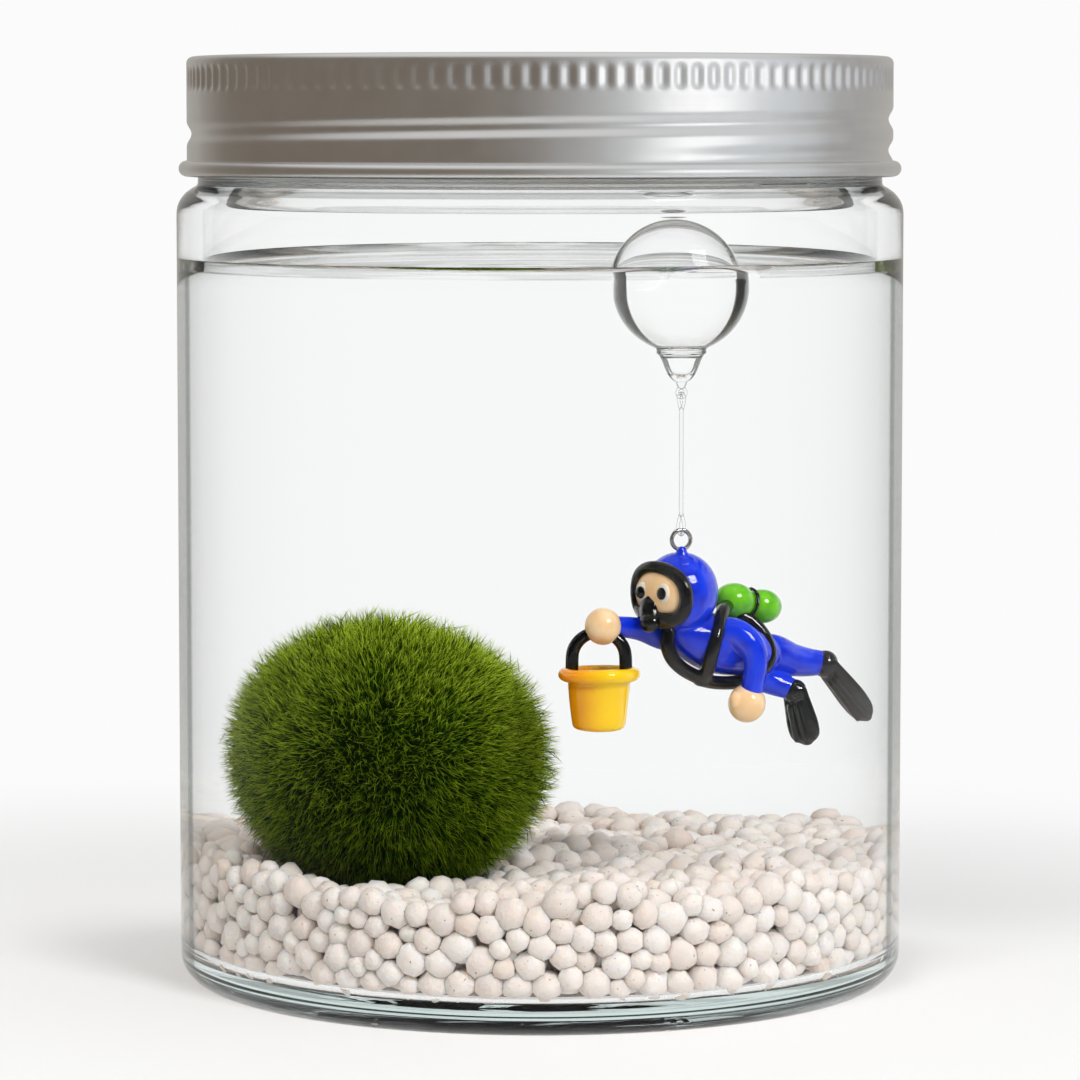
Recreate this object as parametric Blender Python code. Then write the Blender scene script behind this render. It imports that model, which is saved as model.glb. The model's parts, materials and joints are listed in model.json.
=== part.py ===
# A marimo moss ball in a water-filled glass jar with a screw lid.
# A clear glass bubble floats at the surface and carries a small lampworked glass diver.
# Lengths are in millimetres until add_part() scales each solid to metres.
# The origin is the middle of the jar's base, +Z is up, and -Y is the front.

import bmesh
import bpy
from math import cos, pi, radians, sin
from mathutils import Matrix, Vector

METRES_PER_MM = 0.001

# Jar
JAR_RADIUS = 42.5
JAR_WALL = 3.0
JAR_FLOOR = 3.4
BASE_CORNER = 3.5
FLOOR_CORNER = 3.0
SHOULDER_START = 89.2
SHOULDER_END = 93.6
NECK_RADIUS = 40.0
THREAD_ROOT = 38.9
MOUTH_RADIUS = 36.6
NECK_TOP = 106.5
TURN_SEGMENTS = 40

# Screw thread shared by the neck's bead and the lid's rolled ridge
THREAD_PITCH = 3.6
RIDGE_HEIGHT_AT_LEFT = 99.4
RIDGE_SPAN = (-80.0, 540.0)
BEAD_SPAN = (-60.0, 340.0)
THREAD_FADE = 20.0
THREAD_STEP = 10.0
BEAD_CREST = 40.0
RIDGE_CREST = 39.35
THREAD_BASE_HALF = 0.8
THREAD_CREST_HALF = 0.35

# Lid
LID_TOP = 108.4
LID_BOTTOM = 94.4
LID_RADIUS = 41.1
KNURL_RADIUS = 41.4
KNURL_BOTTOM = 104.4
LID_SHEET = 0.5
CURL_RADIUS = 42.17
CURL_TOP = 96.2
LINER_RADIUS = 40.0
LINER_BOTTOM = 106.8
LINER_TOP = 107.6

# Contents
TOUCH_GAP = 0.3
WATER_LEVEL = 84.1
MOSS_CENTRE = Vector((-16.0, -14.0, 28.4))
MOSS_RADII = Vector((18.2, 17.0, 17.2))
GRAVEL_HEIGHT = 16.0

# Float, link and ring hang in one plumb line
LINE_X = 14.8
LINE_Y = -27.0
FLOAT_HEIGHT = 82.5
FLOAT_RADIUS = 7.3
FLOAT_EYE_HEIGHT = 70.75
RING_HEIGHT = 54.3
RING_YAW = 25.0
LINK_YAW = -55.0
FUSED_GAP = 0.1

# Diver
HEAD = Vector((14.6, -26.0, 48.4))
FACE_YAW = 40.0
FACE_OUT = 3.2
HAND_RIGHT = Vector((6.9, -29.0, 45.0))
HAND_LEFT = Vector((21.5, -24.6, 36.2))
BUCKET_AXIS = Vector((6.5, -29.0, 0.0))
BUCKET_BOTTOM = 33.9
BUCKET_RIM_HEIGHT = 39.85
HANDLE_RADIUS = 2.68
HANDLE_CENTRE_HEIGHT = 41.7


def clear_scene():
    for obj in list(bpy.data.objects):
        bpy.data.objects.remove(obj, do_unlink=True)


def material(name, colour, roughness, metallic=0.0, transmission=0.0):
    finish = bpy.data.materials.new(name)
    finish.use_nodes = True
    shader = finish.node_tree.nodes["Principled BSDF"]
    shader.inputs["Base Color"].default_value = (*colour, 1.0)
    shader.inputs["Roughness"].default_value = roughness
    shader.inputs["Metallic"].default_value = metallic
    shader.inputs["Transmission Weight"].default_value = transmission
    return finish


def add_part(name, solid, finish):
    """Scale a finished solid to metres and place it in the scene as one named object."""
    bmesh.ops.scale(solid, vec=(METRES_PER_MM,) * 3, verts=solid.verts)
    mesh = bpy.data.meshes.new(name)
    solid.to_mesh(mesh)
    solid.free()
    mesh.materials.append(finish)
    mesh.shade_smooth()
    mesh.set_sharp_from_angle(angle=radians(40))
    part = bpy.data.objects.new(name, mesh)
    bpy.context.scene.collection.objects.link(part)
    return part


# Basic shapes

def revolve(outline, segments=TURN_SEGMENTS):
    """Turn an outline of (radius, height) points, from axis to axis, about Z."""
    solid = bmesh.new()
    points = [solid.verts.new((radius, 0.0, height)) for radius, height in outline]
    edges = [solid.edges.new(pair) for pair in zip(points, points[1:])]
    bmesh.ops.spin(solid, geom=points + edges, axis=(0, 0, 1), cent=(0, 0, 0),
                   angle=2 * pi, steps=segments, use_merge=True)
    bmesh.ops.remove_doubles(solid, verts=solid.verts, dist=0.001)
    bmesh.ops.recalc_face_normals(solid, faces=solid.faces)
    return solid


def arc(centre, radius, start, end, steps):
    """Points of a circular arc in the (radius, height) plane, angles in degrees."""
    angles = [radians(start + (end - start) * step / steps) for step in range(steps + 1)]
    return [(centre[0] + radius * cos(a), centre[1] + radius * sin(a)) for a in angles]


def ball(centre, radii, frame=None, segments=12, rings=8):
    """An ellipsoid, optionally turned by a 3x3 frame."""
    solid = bmesh.new()
    turn = (frame or Matrix.Identity(3)).to_4x4()
    place = Matrix.Translation(centre) @ turn @ Matrix.Diagonal((*radii, 1.0))
    bmesh.ops.create_uvsphere(solid, u_segments=segments, v_segments=rings, radius=1.0, matrix=place)
    bmesh.ops.recalc_face_normals(solid, faces=solid.faces)
    return solid


def sweep(points, radii, sides=8, closed=False, flat=None, up=None):
    """A tube through points with a radius at each; flat scales its thickness along the up vector."""
    solid = bmesh.new()
    points = [Vector(point) for point in points]
    count = len(points)
    reference = Vector(up) if up else None
    loops = []
    side = None
    for index, point in enumerate(points):
        before = points[index - 1] if index or closed else point
        after = points[(index + 1) % count] if index < count - 1 or closed else point
        along = (after - before).normalized()
        if reference:
            side = along.cross(reference).normalized()
        elif side is None:
            side = along.orthogonal().normalized()
        else:
            side = (side - along * side.dot(along)).normalized()
        lift = side.cross(along)
        loop = []
        for corner in range(sides):
            angle = 2 * pi * (corner + 0.5) / sides
            offset = side * cos(angle) + lift * sin(angle) * (flat or 1.0)
            loop.append(solid.verts.new(point + offset * radii[index]))
        loops.append(loop)
    pairs = list(zip(loops, loops[1:]))
    if closed:
        pairs.append((loops[-1], loops[0]))
    else:
        solid.faces.new(loops[0])
        solid.faces.new(loops[-1])
    for first, second in pairs:
        for corner in range(sides):
            following = (corner + 1) % sides
            solid.faces.new((first[corner], first[following], second[following], second[corner]))
    bmesh.ops.recalc_face_normals(solid, faces=solid.faces)
    return solid


def upright_loop(centre, yaw, outline):
    """Points of a closed loop in the upright plane turned by yaw; outline holds (across, up) pairs."""
    across = Vector((cos(radians(yaw)), sin(radians(yaw)), 0.0))
    return [Vector(centre) + across * s + Vector((0.0, 0.0, t)) for s, t in outline]


def round_loop(radius, steps=14):
    return [(radius * cos(2 * pi * step / steps), radius * sin(2 * pi * step / steps))
            for step in range(steps)]


def grown(solid, gap):
    """A copy of a shape whose surface is moved outwards by gap."""
    copy = solid.copy()
    copy.normal_update()
    moves = [vert.normal.copy() * gap for vert in copy.verts]
    for vert, move in zip(copy.verts, moves):
        vert.co += move
    return copy


# Booleans on bmesh shapes

def temporary_object(solid):
    """Booleans need flat faces, so every face is made triangles first."""
    bmesh.ops.triangulate(solid, faces=solid.faces)
    mesh = bpy.data.meshes.new("temporary")
    solid.to_mesh(mesh)
    return bpy.data.objects.new("temporary", mesh)


def combine(base, other, operation):
    """Apply one exact Boolean between two shapes, and return the new shape."""
    target = temporary_object(base)
    helper = temporary_object(other)
    for obj in (target, helper):
        bpy.context.scene.collection.objects.link(obj)
    helper.hide_render = True
    helper.display_type = "WIRE"
    boolean = target.modifiers.new("combine", "BOOLEAN")
    boolean.operation = operation
    boolean.solver = "EXACT"
    boolean.object = helper
    mesh = bpy.data.meshes.new_from_object(target.evaluated_get(bpy.context.evaluated_depsgraph_get()))
    result = bmesh.new()
    result.from_mesh(mesh)
    for obj in (target, helper):
        bpy.data.objects.remove(obj, do_unlink=True)
    bmesh.ops.remove_doubles(result, verts=result.verts, dist=0.002)
    bmesh.ops.dissolve_degenerate(result, edges=result.edges, dist=0.002)
    bmesh.ops.dissolve_limit(result, angle_limit=radians(0.3), verts=result.verts, edges=result.edges)
    loose = [edge for edge in result.edges if not edge.link_faces]
    bmesh.ops.delete(result, geom=loose, context="EDGES")
    return result


def largest_piece(solid):
    """Keep only the connected piece with the most faces."""
    unseen = set(solid.verts)
    pieces = []
    while unseen:
        reached = {unseen.pop()}
        frontier = list(reached)
        while frontier:
            vert = frontier.pop()
            for edge in vert.link_edges:
                other = edge.other_vert(vert)
                if other in unseen:
                    unseen.remove(other)
                    reached.add(other)
                    frontier.append(other)
        pieces.append(reached)
    keep = max(pieces, key=len)
    bmesh.ops.delete(solid, geom=[v for v in solid.verts if v not in keep], context="VERTS")
    return solid


def union(shapes):
    solid = shapes[0].copy()
    for shape in shapes[1:]:
        solid = combine(solid, shape, "UNION")
    return largest_piece(solid)


def cut(base, shapes, gap):
    for shape in shapes:
        base = combine(base, grown(shape, gap), "DIFFERENCE")
    return largest_piece(base)


# Jar and lid

def thread_height(angle):
    """Height of the lid's ridge at an angle in degrees, counted from +X and rising to the right in front."""
    return RIDGE_HEIGHT_AT_LEFT + THREAD_PITCH * (angle - 180.0) / 360.0


def thread_rib(span, rise, buried, crest):
    """A rib of trapezoid section along the helix; both ends fade into the wall at radius buried."""
    solid = bmesh.new()
    steps = round((span[1] - span[0]) / THREAD_STEP)
    outwards = 1.0 if crest > buried else -1.0
    loops = []
    for step in range(steps + 1):
        angle = span[0] + step * THREAD_STEP
        fade = min(1.0, (angle - span[0]) / THREAD_FADE, (span[1] - angle) / THREAD_FADE)
        top = buried + outwards * (0.15 + fade * (abs(crest - buried) - 0.15))
        height = thread_height(angle) + rise
        section = [(buried, height - THREAD_BASE_HALF), (top, height - THREAD_CREST_HALF),
                   (top, height + THREAD_CREST_HALF), (buried, height + THREAD_BASE_HALF)]
        turn = radians(angle)
        loops.append([solid.verts.new((r * cos(turn), r * sin(turn), z)) for r, z in section])
    for first, second in zip(loops, loops[1:]):
        for corner in range(4):
            following = (corner + 1) % 4
            solid.faces.new((first[corner], first[following], second[following], second[corner]))
    solid.faces.new(loops[0])
    solid.faces.new(loops[-1])
    bmesh.ops.recalc_face_normals(solid, faces=solid.faces)
    return solid


def build_jar():
    inner = JAR_RADIUS - JAR_WALL
    outside = [(0.0, 0.0)]
    outside += arc((JAR_RADIUS - BASE_CORNER, BASE_CORNER), BASE_CORNER, -90, 0, 4)
    outside += [(JAR_RADIUS, SHOULDER_START), (JAR_RADIUS - 0.45, 91.3), (JAR_RADIUS - 1.4, 92.7),
                (NECK_RADIUS, SHOULDER_END), (NECK_RADIUS, 95.4), (THREAD_ROOT, 96.0),
                (THREAD_ROOT, NECK_TOP - 0.8), (THREAD_ROOT - 0.8, NECK_TOP)]
    inside = [(MOUTH_RADIUS + 0.8, NECK_TOP), (MOUTH_RADIUS, NECK_TOP - 0.8), (MOUTH_RADIUS, 93.6),
              (MOUTH_RADIUS + 0.9, 92.2), (inner - 0.6, 90.4), (inner, 88.6)]
    inside += arc((inner - FLOOR_CORNER, JAR_FLOOR + FLOOR_CORNER), FLOOR_CORNER, 0, -90, 3)
    inside += [(0.0, JAR_FLOOR)]
    glass = revolve(outside + inside)
    bead = thread_rib(BEAD_SPAN, THREAD_PITCH / 2, THREAD_ROOT - 0.5, BEAD_CREST)
    return union([glass, bead])


def build_lid():
    wall = LID_RADIUS - LID_SHEET
    outside = [(0.0, LID_TOP)]
    outside += arc((KNURL_RADIUS - 1.0, LID_TOP - 1.0), 1.0, 90, 0, 3)
    outside += [(KNURL_RADIUS, KNURL_BOTTOM), (LID_RADIUS, KNURL_BOTTOM - 0.5), (LID_RADIUS, CURL_TOP + 0.3)]
    middle = (CURL_TOP + LID_BOTTOM) / 2
    outside += arc((CURL_RADIUS - 0.75, middle), 0.8, 70, -70, 4)
    inside = [(wall, LID_BOTTOM + 0.1), (wall, LID_TOP - LID_SHEET - 0.4),
              (wall - 0.4, LID_TOP - LID_SHEET), (0.0, LID_TOP - LID_SHEET)]
    sheet = revolve(outside + inside)
    ridge = thread_rib(RIDGE_SPAN, 0.0, wall + 0.25, RIDGE_CREST)
    return union([sheet, ridge])


def build_liner():
    return revolve([(0.0, LINER_TOP), (LINER_RADIUS, LINER_TOP), (LINER_RADIUS, LINER_BOTTOM),
                    (0.0, LINER_BOTTOM)])


# Gravel, moss ball and water

def gravel_top(x, y):
    """Lumpy height of the pellet bed, which falls a little towards +X."""
    lumps = 0.45 * sin(0.55 * x + 1.0) * cos(0.5 * y) + 0.3 * sin(0.9 * y - 0.7 * x)
    return GRAVEL_HEIGHT - 0.02 * x + lumps


def build_gravel(moss):
    radius = JAR_RADIUS - JAR_WALL - TOUCH_GAP
    bottom = JAR_FLOOR + TOUCH_GAP
    bed = revolve([(0.0, GRAVEL_HEIGHT)] + [(radius * step / 7, GRAVEL_HEIGHT) for step in range(1, 8)]
                  + [(radius, bottom + FLOOR_CORNER), (radius - FLOOR_CORNER, bottom), (0.0, bottom)], 36)
    for vert in bed.verts:
        if vert.co.z > GRAVEL_HEIGHT - 0.1:
            vert.co.z = gravel_top(vert.co.x, vert.co.y)
    return cut(bed, [moss], TOUCH_GAP + 0.1)


def moss_shape():
    """The ball: nearly round, with a soft irregular outline."""
    ball_shape = ball(MOSS_CENTRE, MOSS_RADII, segments=24, rings=14)
    for vert in ball_shape.verts:
        reach = vert.co - MOSS_CENTRE
        ray = reach.normalized()
        swell = 0.006 * sin(5 * ray.x + 2) + 0.006 * sin(6 * ray.y) * cos(4 * ray.z)
        vert.co = MOSS_CENTRE + reach * (1.0 + swell)
    return ball_shape


def build_water(gravel, moss, hanging):
    radius = JAR_RADIUS - JAR_WALL - TOUCH_GAP
    water = revolve([(0.0, WATER_LEVEL), (radius, WATER_LEVEL), (radius, 8.0), (0.0, 8.0)])
    return cut(water, [gravel, moss] + hanging, TOUCH_GAP)


# Float, link and ring

def float_shapes():
    centre = Vector((LINE_X, LINE_Y, FLOAT_HEIGHT))
    neck = [(76.8, 3.6), (75.6, 2.5), (74.6, 2.0), (73.2, 1.5), (72.0, 0.9), (71.1, 0.4)]
    eye = upright_loop((LINE_X, LINE_Y, FLOAT_EYE_HEIGHT), LINK_YAW + 90.0, round_loop(0.55, 10))
    return [ball(centre, (FLOAT_RADIUS,) * 3, segments=20, rings=12),
            sweep([(LINE_X, LINE_Y, height) for height, _ in neck], [radius for _, radius in neck], 12),
            sweep(eye, [0.2] * len(eye), 6, closed=True)]


def link_shapes():
    """A thin rod whose two ends are bent round into narrow eyes."""
    upper = [(0.0, 68.8), (0.35, 69.4), (0.55, 70.0), (0.4, 70.5), (0.0, 70.7),
             (-0.4, 70.5), (-0.55, 70.0), (-0.35, 69.4)]
    lower = [(0.0, 57.2), (0.35, 56.5), (0.6, 55.6), (0.45, 55.05), (0.0, 54.86),
             (-0.45, 55.05), (-0.6, 55.6), (-0.35, 56.5)]
    shapes = [sweep([(LINE_X, LINE_Y, 68.8), (LINE_X, LINE_Y, 57.2)], [0.24, 0.24], 8)]
    for outline in (upper, lower):
        loop = upright_loop((LINE_X, LINE_Y, 0.0), LINK_YAW, outline)
        shapes.append(sweep(loop, [0.2] * len(loop), 6, closed=True))
    return shapes


def ring_shapes():
    loop = upright_loop((LINE_X, LINE_Y, RING_HEIGHT), RING_YAW, round_loop(1.08))
    return [sweep(loop, [0.24] * len(loop), 6, closed=True)]


# Diver

def face_frame():
    """Axes of the face: across, outwards and up."""
    yaw = radians(FACE_YAW)
    across = Vector((cos(yaw), -sin(yaw), 0.0))
    outwards = Vector((-sin(yaw), -cos(yaw), 0.0))
    return across, outwards, Vector((0.0, 0.0, 1.0))


def on_face(across, out, up):
    u, n, v = face_frame()
    return HEAD + u * across + n * (FACE_OUT + out) + v * up


def face_ball(across, out, up, radii):
    u, n, v = face_frame()
    turn = Matrix((u, n, v)).transposed()
    return ball(on_face(across, out, up), radii, frame=turn, segments=10, rings=7)


def mask_outline(steps=16):
    """A rounded, slightly wedge-shaped ring that bends back round the head at its sides."""
    points = []
    for step in range(steps):
        angle = 2 * pi * step / steps
        across = 3.45 * cos(angle)
        up = 2.95 * sin(angle) * (1.0 - 0.03 * cos(angle))
        points.append(on_face(across, -0.03 * across * across, up - 0.1 - 0.08 * across))
    return points


def suit_shapes():
    return [
        ball(HEAD, (3.95, 3.95, 4.35), segments=16, rings=10),
        ball((LINE_X, LINE_Y + 0.1, 52.8), (0.95, 0.75, 0.6), segments=10, rings=6),
        sweep([(14.6, -25.9, 45.2), (15.2, -25.5, 44.0), (17.8, -23.2, 42.7), (20.6, -20.4, 41.6),
               (23.0, -18.3, 40.7), (24.0, -17.4, 40.3)], [1.5, 2.4, 3.2, 2.9, 2.1, 1.0], 12),
        sweep([(16.2, -24.6, 43.0), (13.0, -25.6, 43.6), (10.6, -26.8, 44.5), (8.0, -28.4, 45.0)],
              [1.8, 1.5, 1.25, 1.1], 10),
        sweep([(17.4, -24.0, 44.0), (18.6, -24.6, 44.1), (20.2, -24.8, 43.9), (21.4, -24.9, 43.1),
               (22.3, -24.9, 41.7), (22.4, -24.9, 39.8), (22.0, -24.8, 37.6)],
              [1.2, 1.5, 1.55, 1.5, 1.4, 1.25, 1.2], 10),
        sweep([(21.4, -19.4, 41.2), (23.4, -17.6, 41.1), (25.3, -15.8, 40.1), (27.0, -14.4, 39.6),
               (28.6, -13.5, 39.4)], [1.7, 2.0, 1.85, 1.6, 1.35], 10),
        sweep([(21.0, -18.6, 39.6), (23.0, -17.4, 38.1), (25.6, -16.9, 36.9)], [1.7, 1.5, 1.2], 10),
    ]


def fin_shapes(heel, tip, half_width, ankle_radius):
    """A paddle with a round end, and the shoe that takes the ankle."""
    heel = Vector(heel)
    tip = Vector(tip)
    steps = [0.0, 0.15, 0.4, 0.65, 0.85, 0.95, 1.0]
    widths = [0.55, 0.78, 0.92, 1.0, 0.9, 0.62, 0.25]
    path = [heel.lerp(tip, step) for step in steps]
    blade = sweep(path, [half_width * width for width in widths], 10, flat=0.4, up=(-0.45, -0.85, -0.3))
    return [blade, ball(heel, (ankle_radius,) * 3, segments=12, rings=8)]


def bucket_shapes():
    outline = [(0.0, BUCKET_BOTTOM), (2.2, BUCKET_BOTTOM), (2.7, BUCKET_BOTTOM + 0.5), (3.15, 39.0)]
    outline += arc((3.38, BUCKET_RIM_HEIGHT), 0.72, -70, 190, 7)
    outline += [(2.62, 39.0), (2.2, BUCKET_BOTTOM + 0.9), (0.0, BUCKET_BOTTOM + 0.7)]
    pail = revolve(outline, 20)
    bmesh.ops.translate(pail, vec=BUCKET_AXIS, verts=pail.verts)
    return [pail]


def handle_shapes():
    """A round arch with straight legs that end in the top of the rim."""
    arch = arc((0.0, HANDLE_CENTRE_HEIGHT), HANDLE_RADIUS, 0, 180, 10)
    outline = [(HANDLE_RADIUS, 40.2)] + arch + [(-HANDLE_RADIUS, 40.2)]
    return [sweep([BUCKET_AXIS + Vector((s, 0.0, t)) for s, t in outline], [0.56] * len(outline), 8)]


def harness_shapes():
    """Two shoulder straps and the waist strap, fused where they meet under the belly."""
    near = [(19.2, -21.6, 46.5), (18.9, -24.0, 46.0), (18.6, -25.8, 44.6), (18.2, -26.7, 42.9),
            (17.7, -26.5, 40.8), (17.2, -25.2, 39.2), (17.2, -24.0, 38.8)]
    far = [(13.5, -27.6, 44.4), (13.4, -27.9, 42.9), (13.9, -27.6, 41.4), (14.9, -26.7, 40.2),
           (16.2, -25.6, 39.3), (17.2, -24.6, 38.9)]
    waist = [(16.6, -25.2, 38.9), (18.3, -23.8, 38.4), (20.5, -22.0, 38.3), (22.6, -20.7, 39.2),
             (23.6, -20.1, 41.0), (23.0, -20.0, 43.0), (21.7, -20.1, 44.6), (20.7, -20.4, 45.2)]
    return [sweep(path, [0.55] * len(path), 8) for path in (near, far, waist)]


def tank_frame():
    axis = Vector((5.7, 4.9, -1.8)).normalized()
    side = axis.cross(Vector((0.0, 0.0, 1.0))).normalized()
    return Matrix((axis, side, axis.cross(side))).transposed()


def figure_shapes():
    """The plain, uncut shapes of every piece that hangs in the water, by node name."""
    shapes = {"float_bubble": float_shapes(), "link_rod": link_shapes(), "hang_ring": ring_shapes(),
              "diver_suit": suit_shapes(), "bucket": bucket_shapes(), "bucket_handle": handle_shapes(),
              "harness": harness_shapes()}
    outline = mask_outline()
    shapes["diver_mask"] = [sweep(outline, [0.62] * len(outline), 8, closed=True),
                            face_ball(-0.75, 0.6, -1.5, (1.15, 0.8, 1.25))]
    shapes["diver_face"] = [face_ball(-0.1, -0.4, 0.0, (3.2, 1.3, 2.75))]
    shapes["diver_regulator"] = [face_ball(-0.1, 1.3, -3.0, (1.0, 0.95, 0.95))]
    for name, across in (("left", 0.7), ("right", -2.1)):
        shapes["eye_white_" + name] = [face_ball(across, 0.72, 0.15, (0.7, 0.4, 0.95))]
        shapes["pupil_" + name] = [face_ball(across - 0.1, 1.0, 0.1, (0.5, 0.3, 0.55))]
    shapes["hand_right"] = [ball(HAND_RIGHT, (1.85, 1.85, 2.0))]
    shapes["hand_left"] = [ball(HAND_LEFT, (2.0, 1.95, 2.1))]
    shapes["tank_front"] = [ball((19.9, -19.9, 46.9), (2.15, 1.8, 1.8), frame=tank_frame())]
    shapes["tank_rear"] = [ball((22.6, -17.6, 46.1), (2.05, 1.75, 1.75), frame=tank_frame())]
    middle = Vector((21.25, -18.75, 46.5))
    turn = tank_frame()
    belt = [middle + turn @ Vector((0.0, 1.5 * s, 1.5 * t)) for s, t in round_loop(1.0, 12)]
    shapes["tank_band"] = [sweep(belt, [0.2] * len(belt), 6, closed=True)]
    shapes["fin_left"] = fin_shapes((28.9, -13.5, 39.3), (33.4, -11.0, 33.2), 1.6, 1.5)
    shapes["fin_right"] = fin_shapes((26.0, -17.0, 36.7), (27.2, -16.6, 31.2), 1.6, 1.3)
    return shapes


def pocket_shapes(shapes):
    """What the water leaves room for: plain shapes that hold everything on the plumb line with room to spare."""
    float_body, float_neck, _ = shapes["float_bubble"]
    rod = shapes["link_rod"][0]
    _, collar, _, arm_right, arm_left, leg_left, leg_right = shapes["diver_suit"]
    trunk = sweep([(14.6, -25.9, 45.2), (16.0, -25.0, 43.6), (18.2, -23.0, 42.6), (21.0, -20.4, 41.8),
                   (23.6, -18.2, 41.0)], [2.0, 3.0, 3.4, 3.2, 2.1], 10)
    tank = sweep([(17.4, -22.0, 47.7), (18.8, -20.8, 47.2), (23.7, -16.7, 45.7), (25.0, -15.6, 45.3)],
                 [1.0, 2.2, 2.2, 1.0], 8)
    face = ball((13.4, -27.5, 48.2), (4.5, 4.2, 4.5), segments=12, rings=8)
    head = ball(HEAD, (4.1, 4.1, 4.5), segments=12, rings=8)
    regulator = ball(on_face(-0.1, 1.3, -3.0), (1.3, 1.3, 1.3), segments=8, rings=6)
    pail = revolve([(0.0, BUCKET_BOTTOM), (2.9, BUCKET_BOTTOM), (3.5, 38.8), (4.3, 39.1), (4.3, 40.5),
                    (3.6, 40.8), (0.0, 40.8)], 12)
    bmesh.ops.translate(pail, vec=BUCKET_AXIS, verts=pail.verts)
    hands = [ball(place, (2.15,) * 3, segments=10, rings=7) for place in (HAND_RIGHT, HAND_LEFT)]
    eyes = [ball((LINE_X, LINE_Y, 70.0), (1.1, 1.1, 1.6), segments=10, rings=6),
            ball((LINE_X, LINE_Y, 55.2), (1.45, 1.45, 2.4), segments=10, rings=6)]
    return ([float_body, float_neck, eyes[0], rod, eyes[1], collar, head, face, regulator, trunk, arm_right,
             arm_left, leg_left, leg_right, tank, pail] + hands + shapes["bucket_handle"]
            + shapes["harness"] + shapes["fin_left"] + shapes["fin_right"])


# Each piece is cut back from the pieces that are set into it.
SET_INTO = {
    "diver_suit": ["hang_ring", "diver_face", "diver_mask", "diver_regulator", "hand_right", "hand_left",
                   "tank_front", "tank_rear", "tank_band", "harness", "fin_left", "fin_right"],
    "diver_face": ["diver_mask", "eye_white_left", "eye_white_right", "pupil_left", "pupil_right",
                   "diver_regulator"],
    "eye_white_left": ["pupil_left", "diver_mask"],
    "eye_white_right": ["pupil_right", "diver_mask"],
    "pupil_left": ["diver_mask"],
    "pupil_right": ["diver_mask"],
    "diver_regulator": ["diver_mask"],
    "tank_front": ["tank_band"],
    "tank_rear": ["tank_band", "tank_front"],
    "harness": ["tank_front", "tank_rear", "tank_band", "diver_regulator", "diver_mask"],
    "hand_right": ["bucket_handle"],
    "bucket": ["bucket_handle"],
}


def figure_finishes():
    black = material("black_glass", (0.008, 0.008, 0.01), 0.08)
    skin = material("skin_glass", (0.93, 0.58, 0.35), 0.12)
    green = material("green_glass", (0.17, 0.68, 0.02), 0.08)
    clear = material("clear_glass", (1.0, 1.0, 1.0), 0.0, transmission=1.0)
    finishes = {"float_bubble": clear, "link_rod": clear,
                "hang_ring": material("steel", (0.6, 0.6, 0.62), 0.15, metallic=1.0),
                "diver_suit": material("blue_glass", (0.004, 0.02, 0.7), 0.06),
                "bucket": material("yellow_glass", (0.95, 0.55, 0.0), 0.1),
                "diver_face": skin, "hand_left": skin, "hand_right": skin,
                "tank_front": green, "tank_rear": green}
    white = material("white_glass", (0.9, 0.88, 0.85), 0.1)
    finishes["eye_white_left"] = white
    finishes["eye_white_right"] = white
    return finishes, black


def build_figure(shapes):
    finishes, other_finish = figure_finishes()
    for name, pieces in shapes.items():
        solid = union(pieces)
        neighbours = [shape for other in SET_INTO.get(name, []) for shape in shapes[other]]
        if neighbours:
            solid = cut(solid, neighbours, FUSED_GAP)
        add_part(name, solid, finishes.get(name, other_finish))


def build():
    clear_scene()
    clear = material("jar_glass", (0.97, 0.99, 0.985), 0.0, transmission=1.0)
    aluminium = material("lid_aluminium", (0.62, 0.62, 0.63), 0.35, metallic=1.0)
    add_part("jar", build_jar(), clear)
    add_part("lid", build_lid(), aluminium)
    add_part("lid_liner", build_liner(), material("liner_foam", (0.85, 0.85, 0.85), 0.6))
    moss = moss_shape()
    gravel = build_gravel(moss)
    shapes = figure_shapes()
    water = build_water(gravel, moss, pocket_shapes(shapes))
    add_part("water", water, material("water", (0.98, 1.0, 1.0), 0.0, transmission=1.0))
    build_figure(shapes)
    add_part("gravel_bed", gravel, material("pale_ceramic", (0.83, 0.78, 0.73), 0.7))
    add_part("moss_ball", moss, material("moss", (0.07, 0.17, 0.01), 0.9))


build()
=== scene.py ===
import json
from math import atan2, cos, exp, hypot, pi, radians, sin, sqrt

import bmesh
import bpy
import numpy as np
from mathutils import Matrix, Vector, noise

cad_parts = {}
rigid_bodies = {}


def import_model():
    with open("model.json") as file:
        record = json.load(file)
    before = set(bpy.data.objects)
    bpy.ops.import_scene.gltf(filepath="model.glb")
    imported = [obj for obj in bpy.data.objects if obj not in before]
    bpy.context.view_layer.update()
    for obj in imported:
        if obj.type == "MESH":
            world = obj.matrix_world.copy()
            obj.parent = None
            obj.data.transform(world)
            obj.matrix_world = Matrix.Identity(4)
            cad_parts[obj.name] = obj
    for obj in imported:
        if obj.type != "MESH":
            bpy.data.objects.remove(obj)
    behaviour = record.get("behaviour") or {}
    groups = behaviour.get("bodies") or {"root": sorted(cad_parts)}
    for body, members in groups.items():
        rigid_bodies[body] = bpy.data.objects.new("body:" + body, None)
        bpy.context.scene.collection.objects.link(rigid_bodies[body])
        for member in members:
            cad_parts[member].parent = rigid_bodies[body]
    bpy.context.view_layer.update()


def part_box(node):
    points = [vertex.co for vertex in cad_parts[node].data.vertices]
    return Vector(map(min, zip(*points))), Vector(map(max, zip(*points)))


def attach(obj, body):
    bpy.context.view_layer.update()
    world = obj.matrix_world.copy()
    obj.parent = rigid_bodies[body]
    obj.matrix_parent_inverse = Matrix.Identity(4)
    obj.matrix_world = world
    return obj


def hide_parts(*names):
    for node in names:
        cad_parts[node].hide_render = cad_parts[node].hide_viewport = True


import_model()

scene = bpy.context.scene

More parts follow.
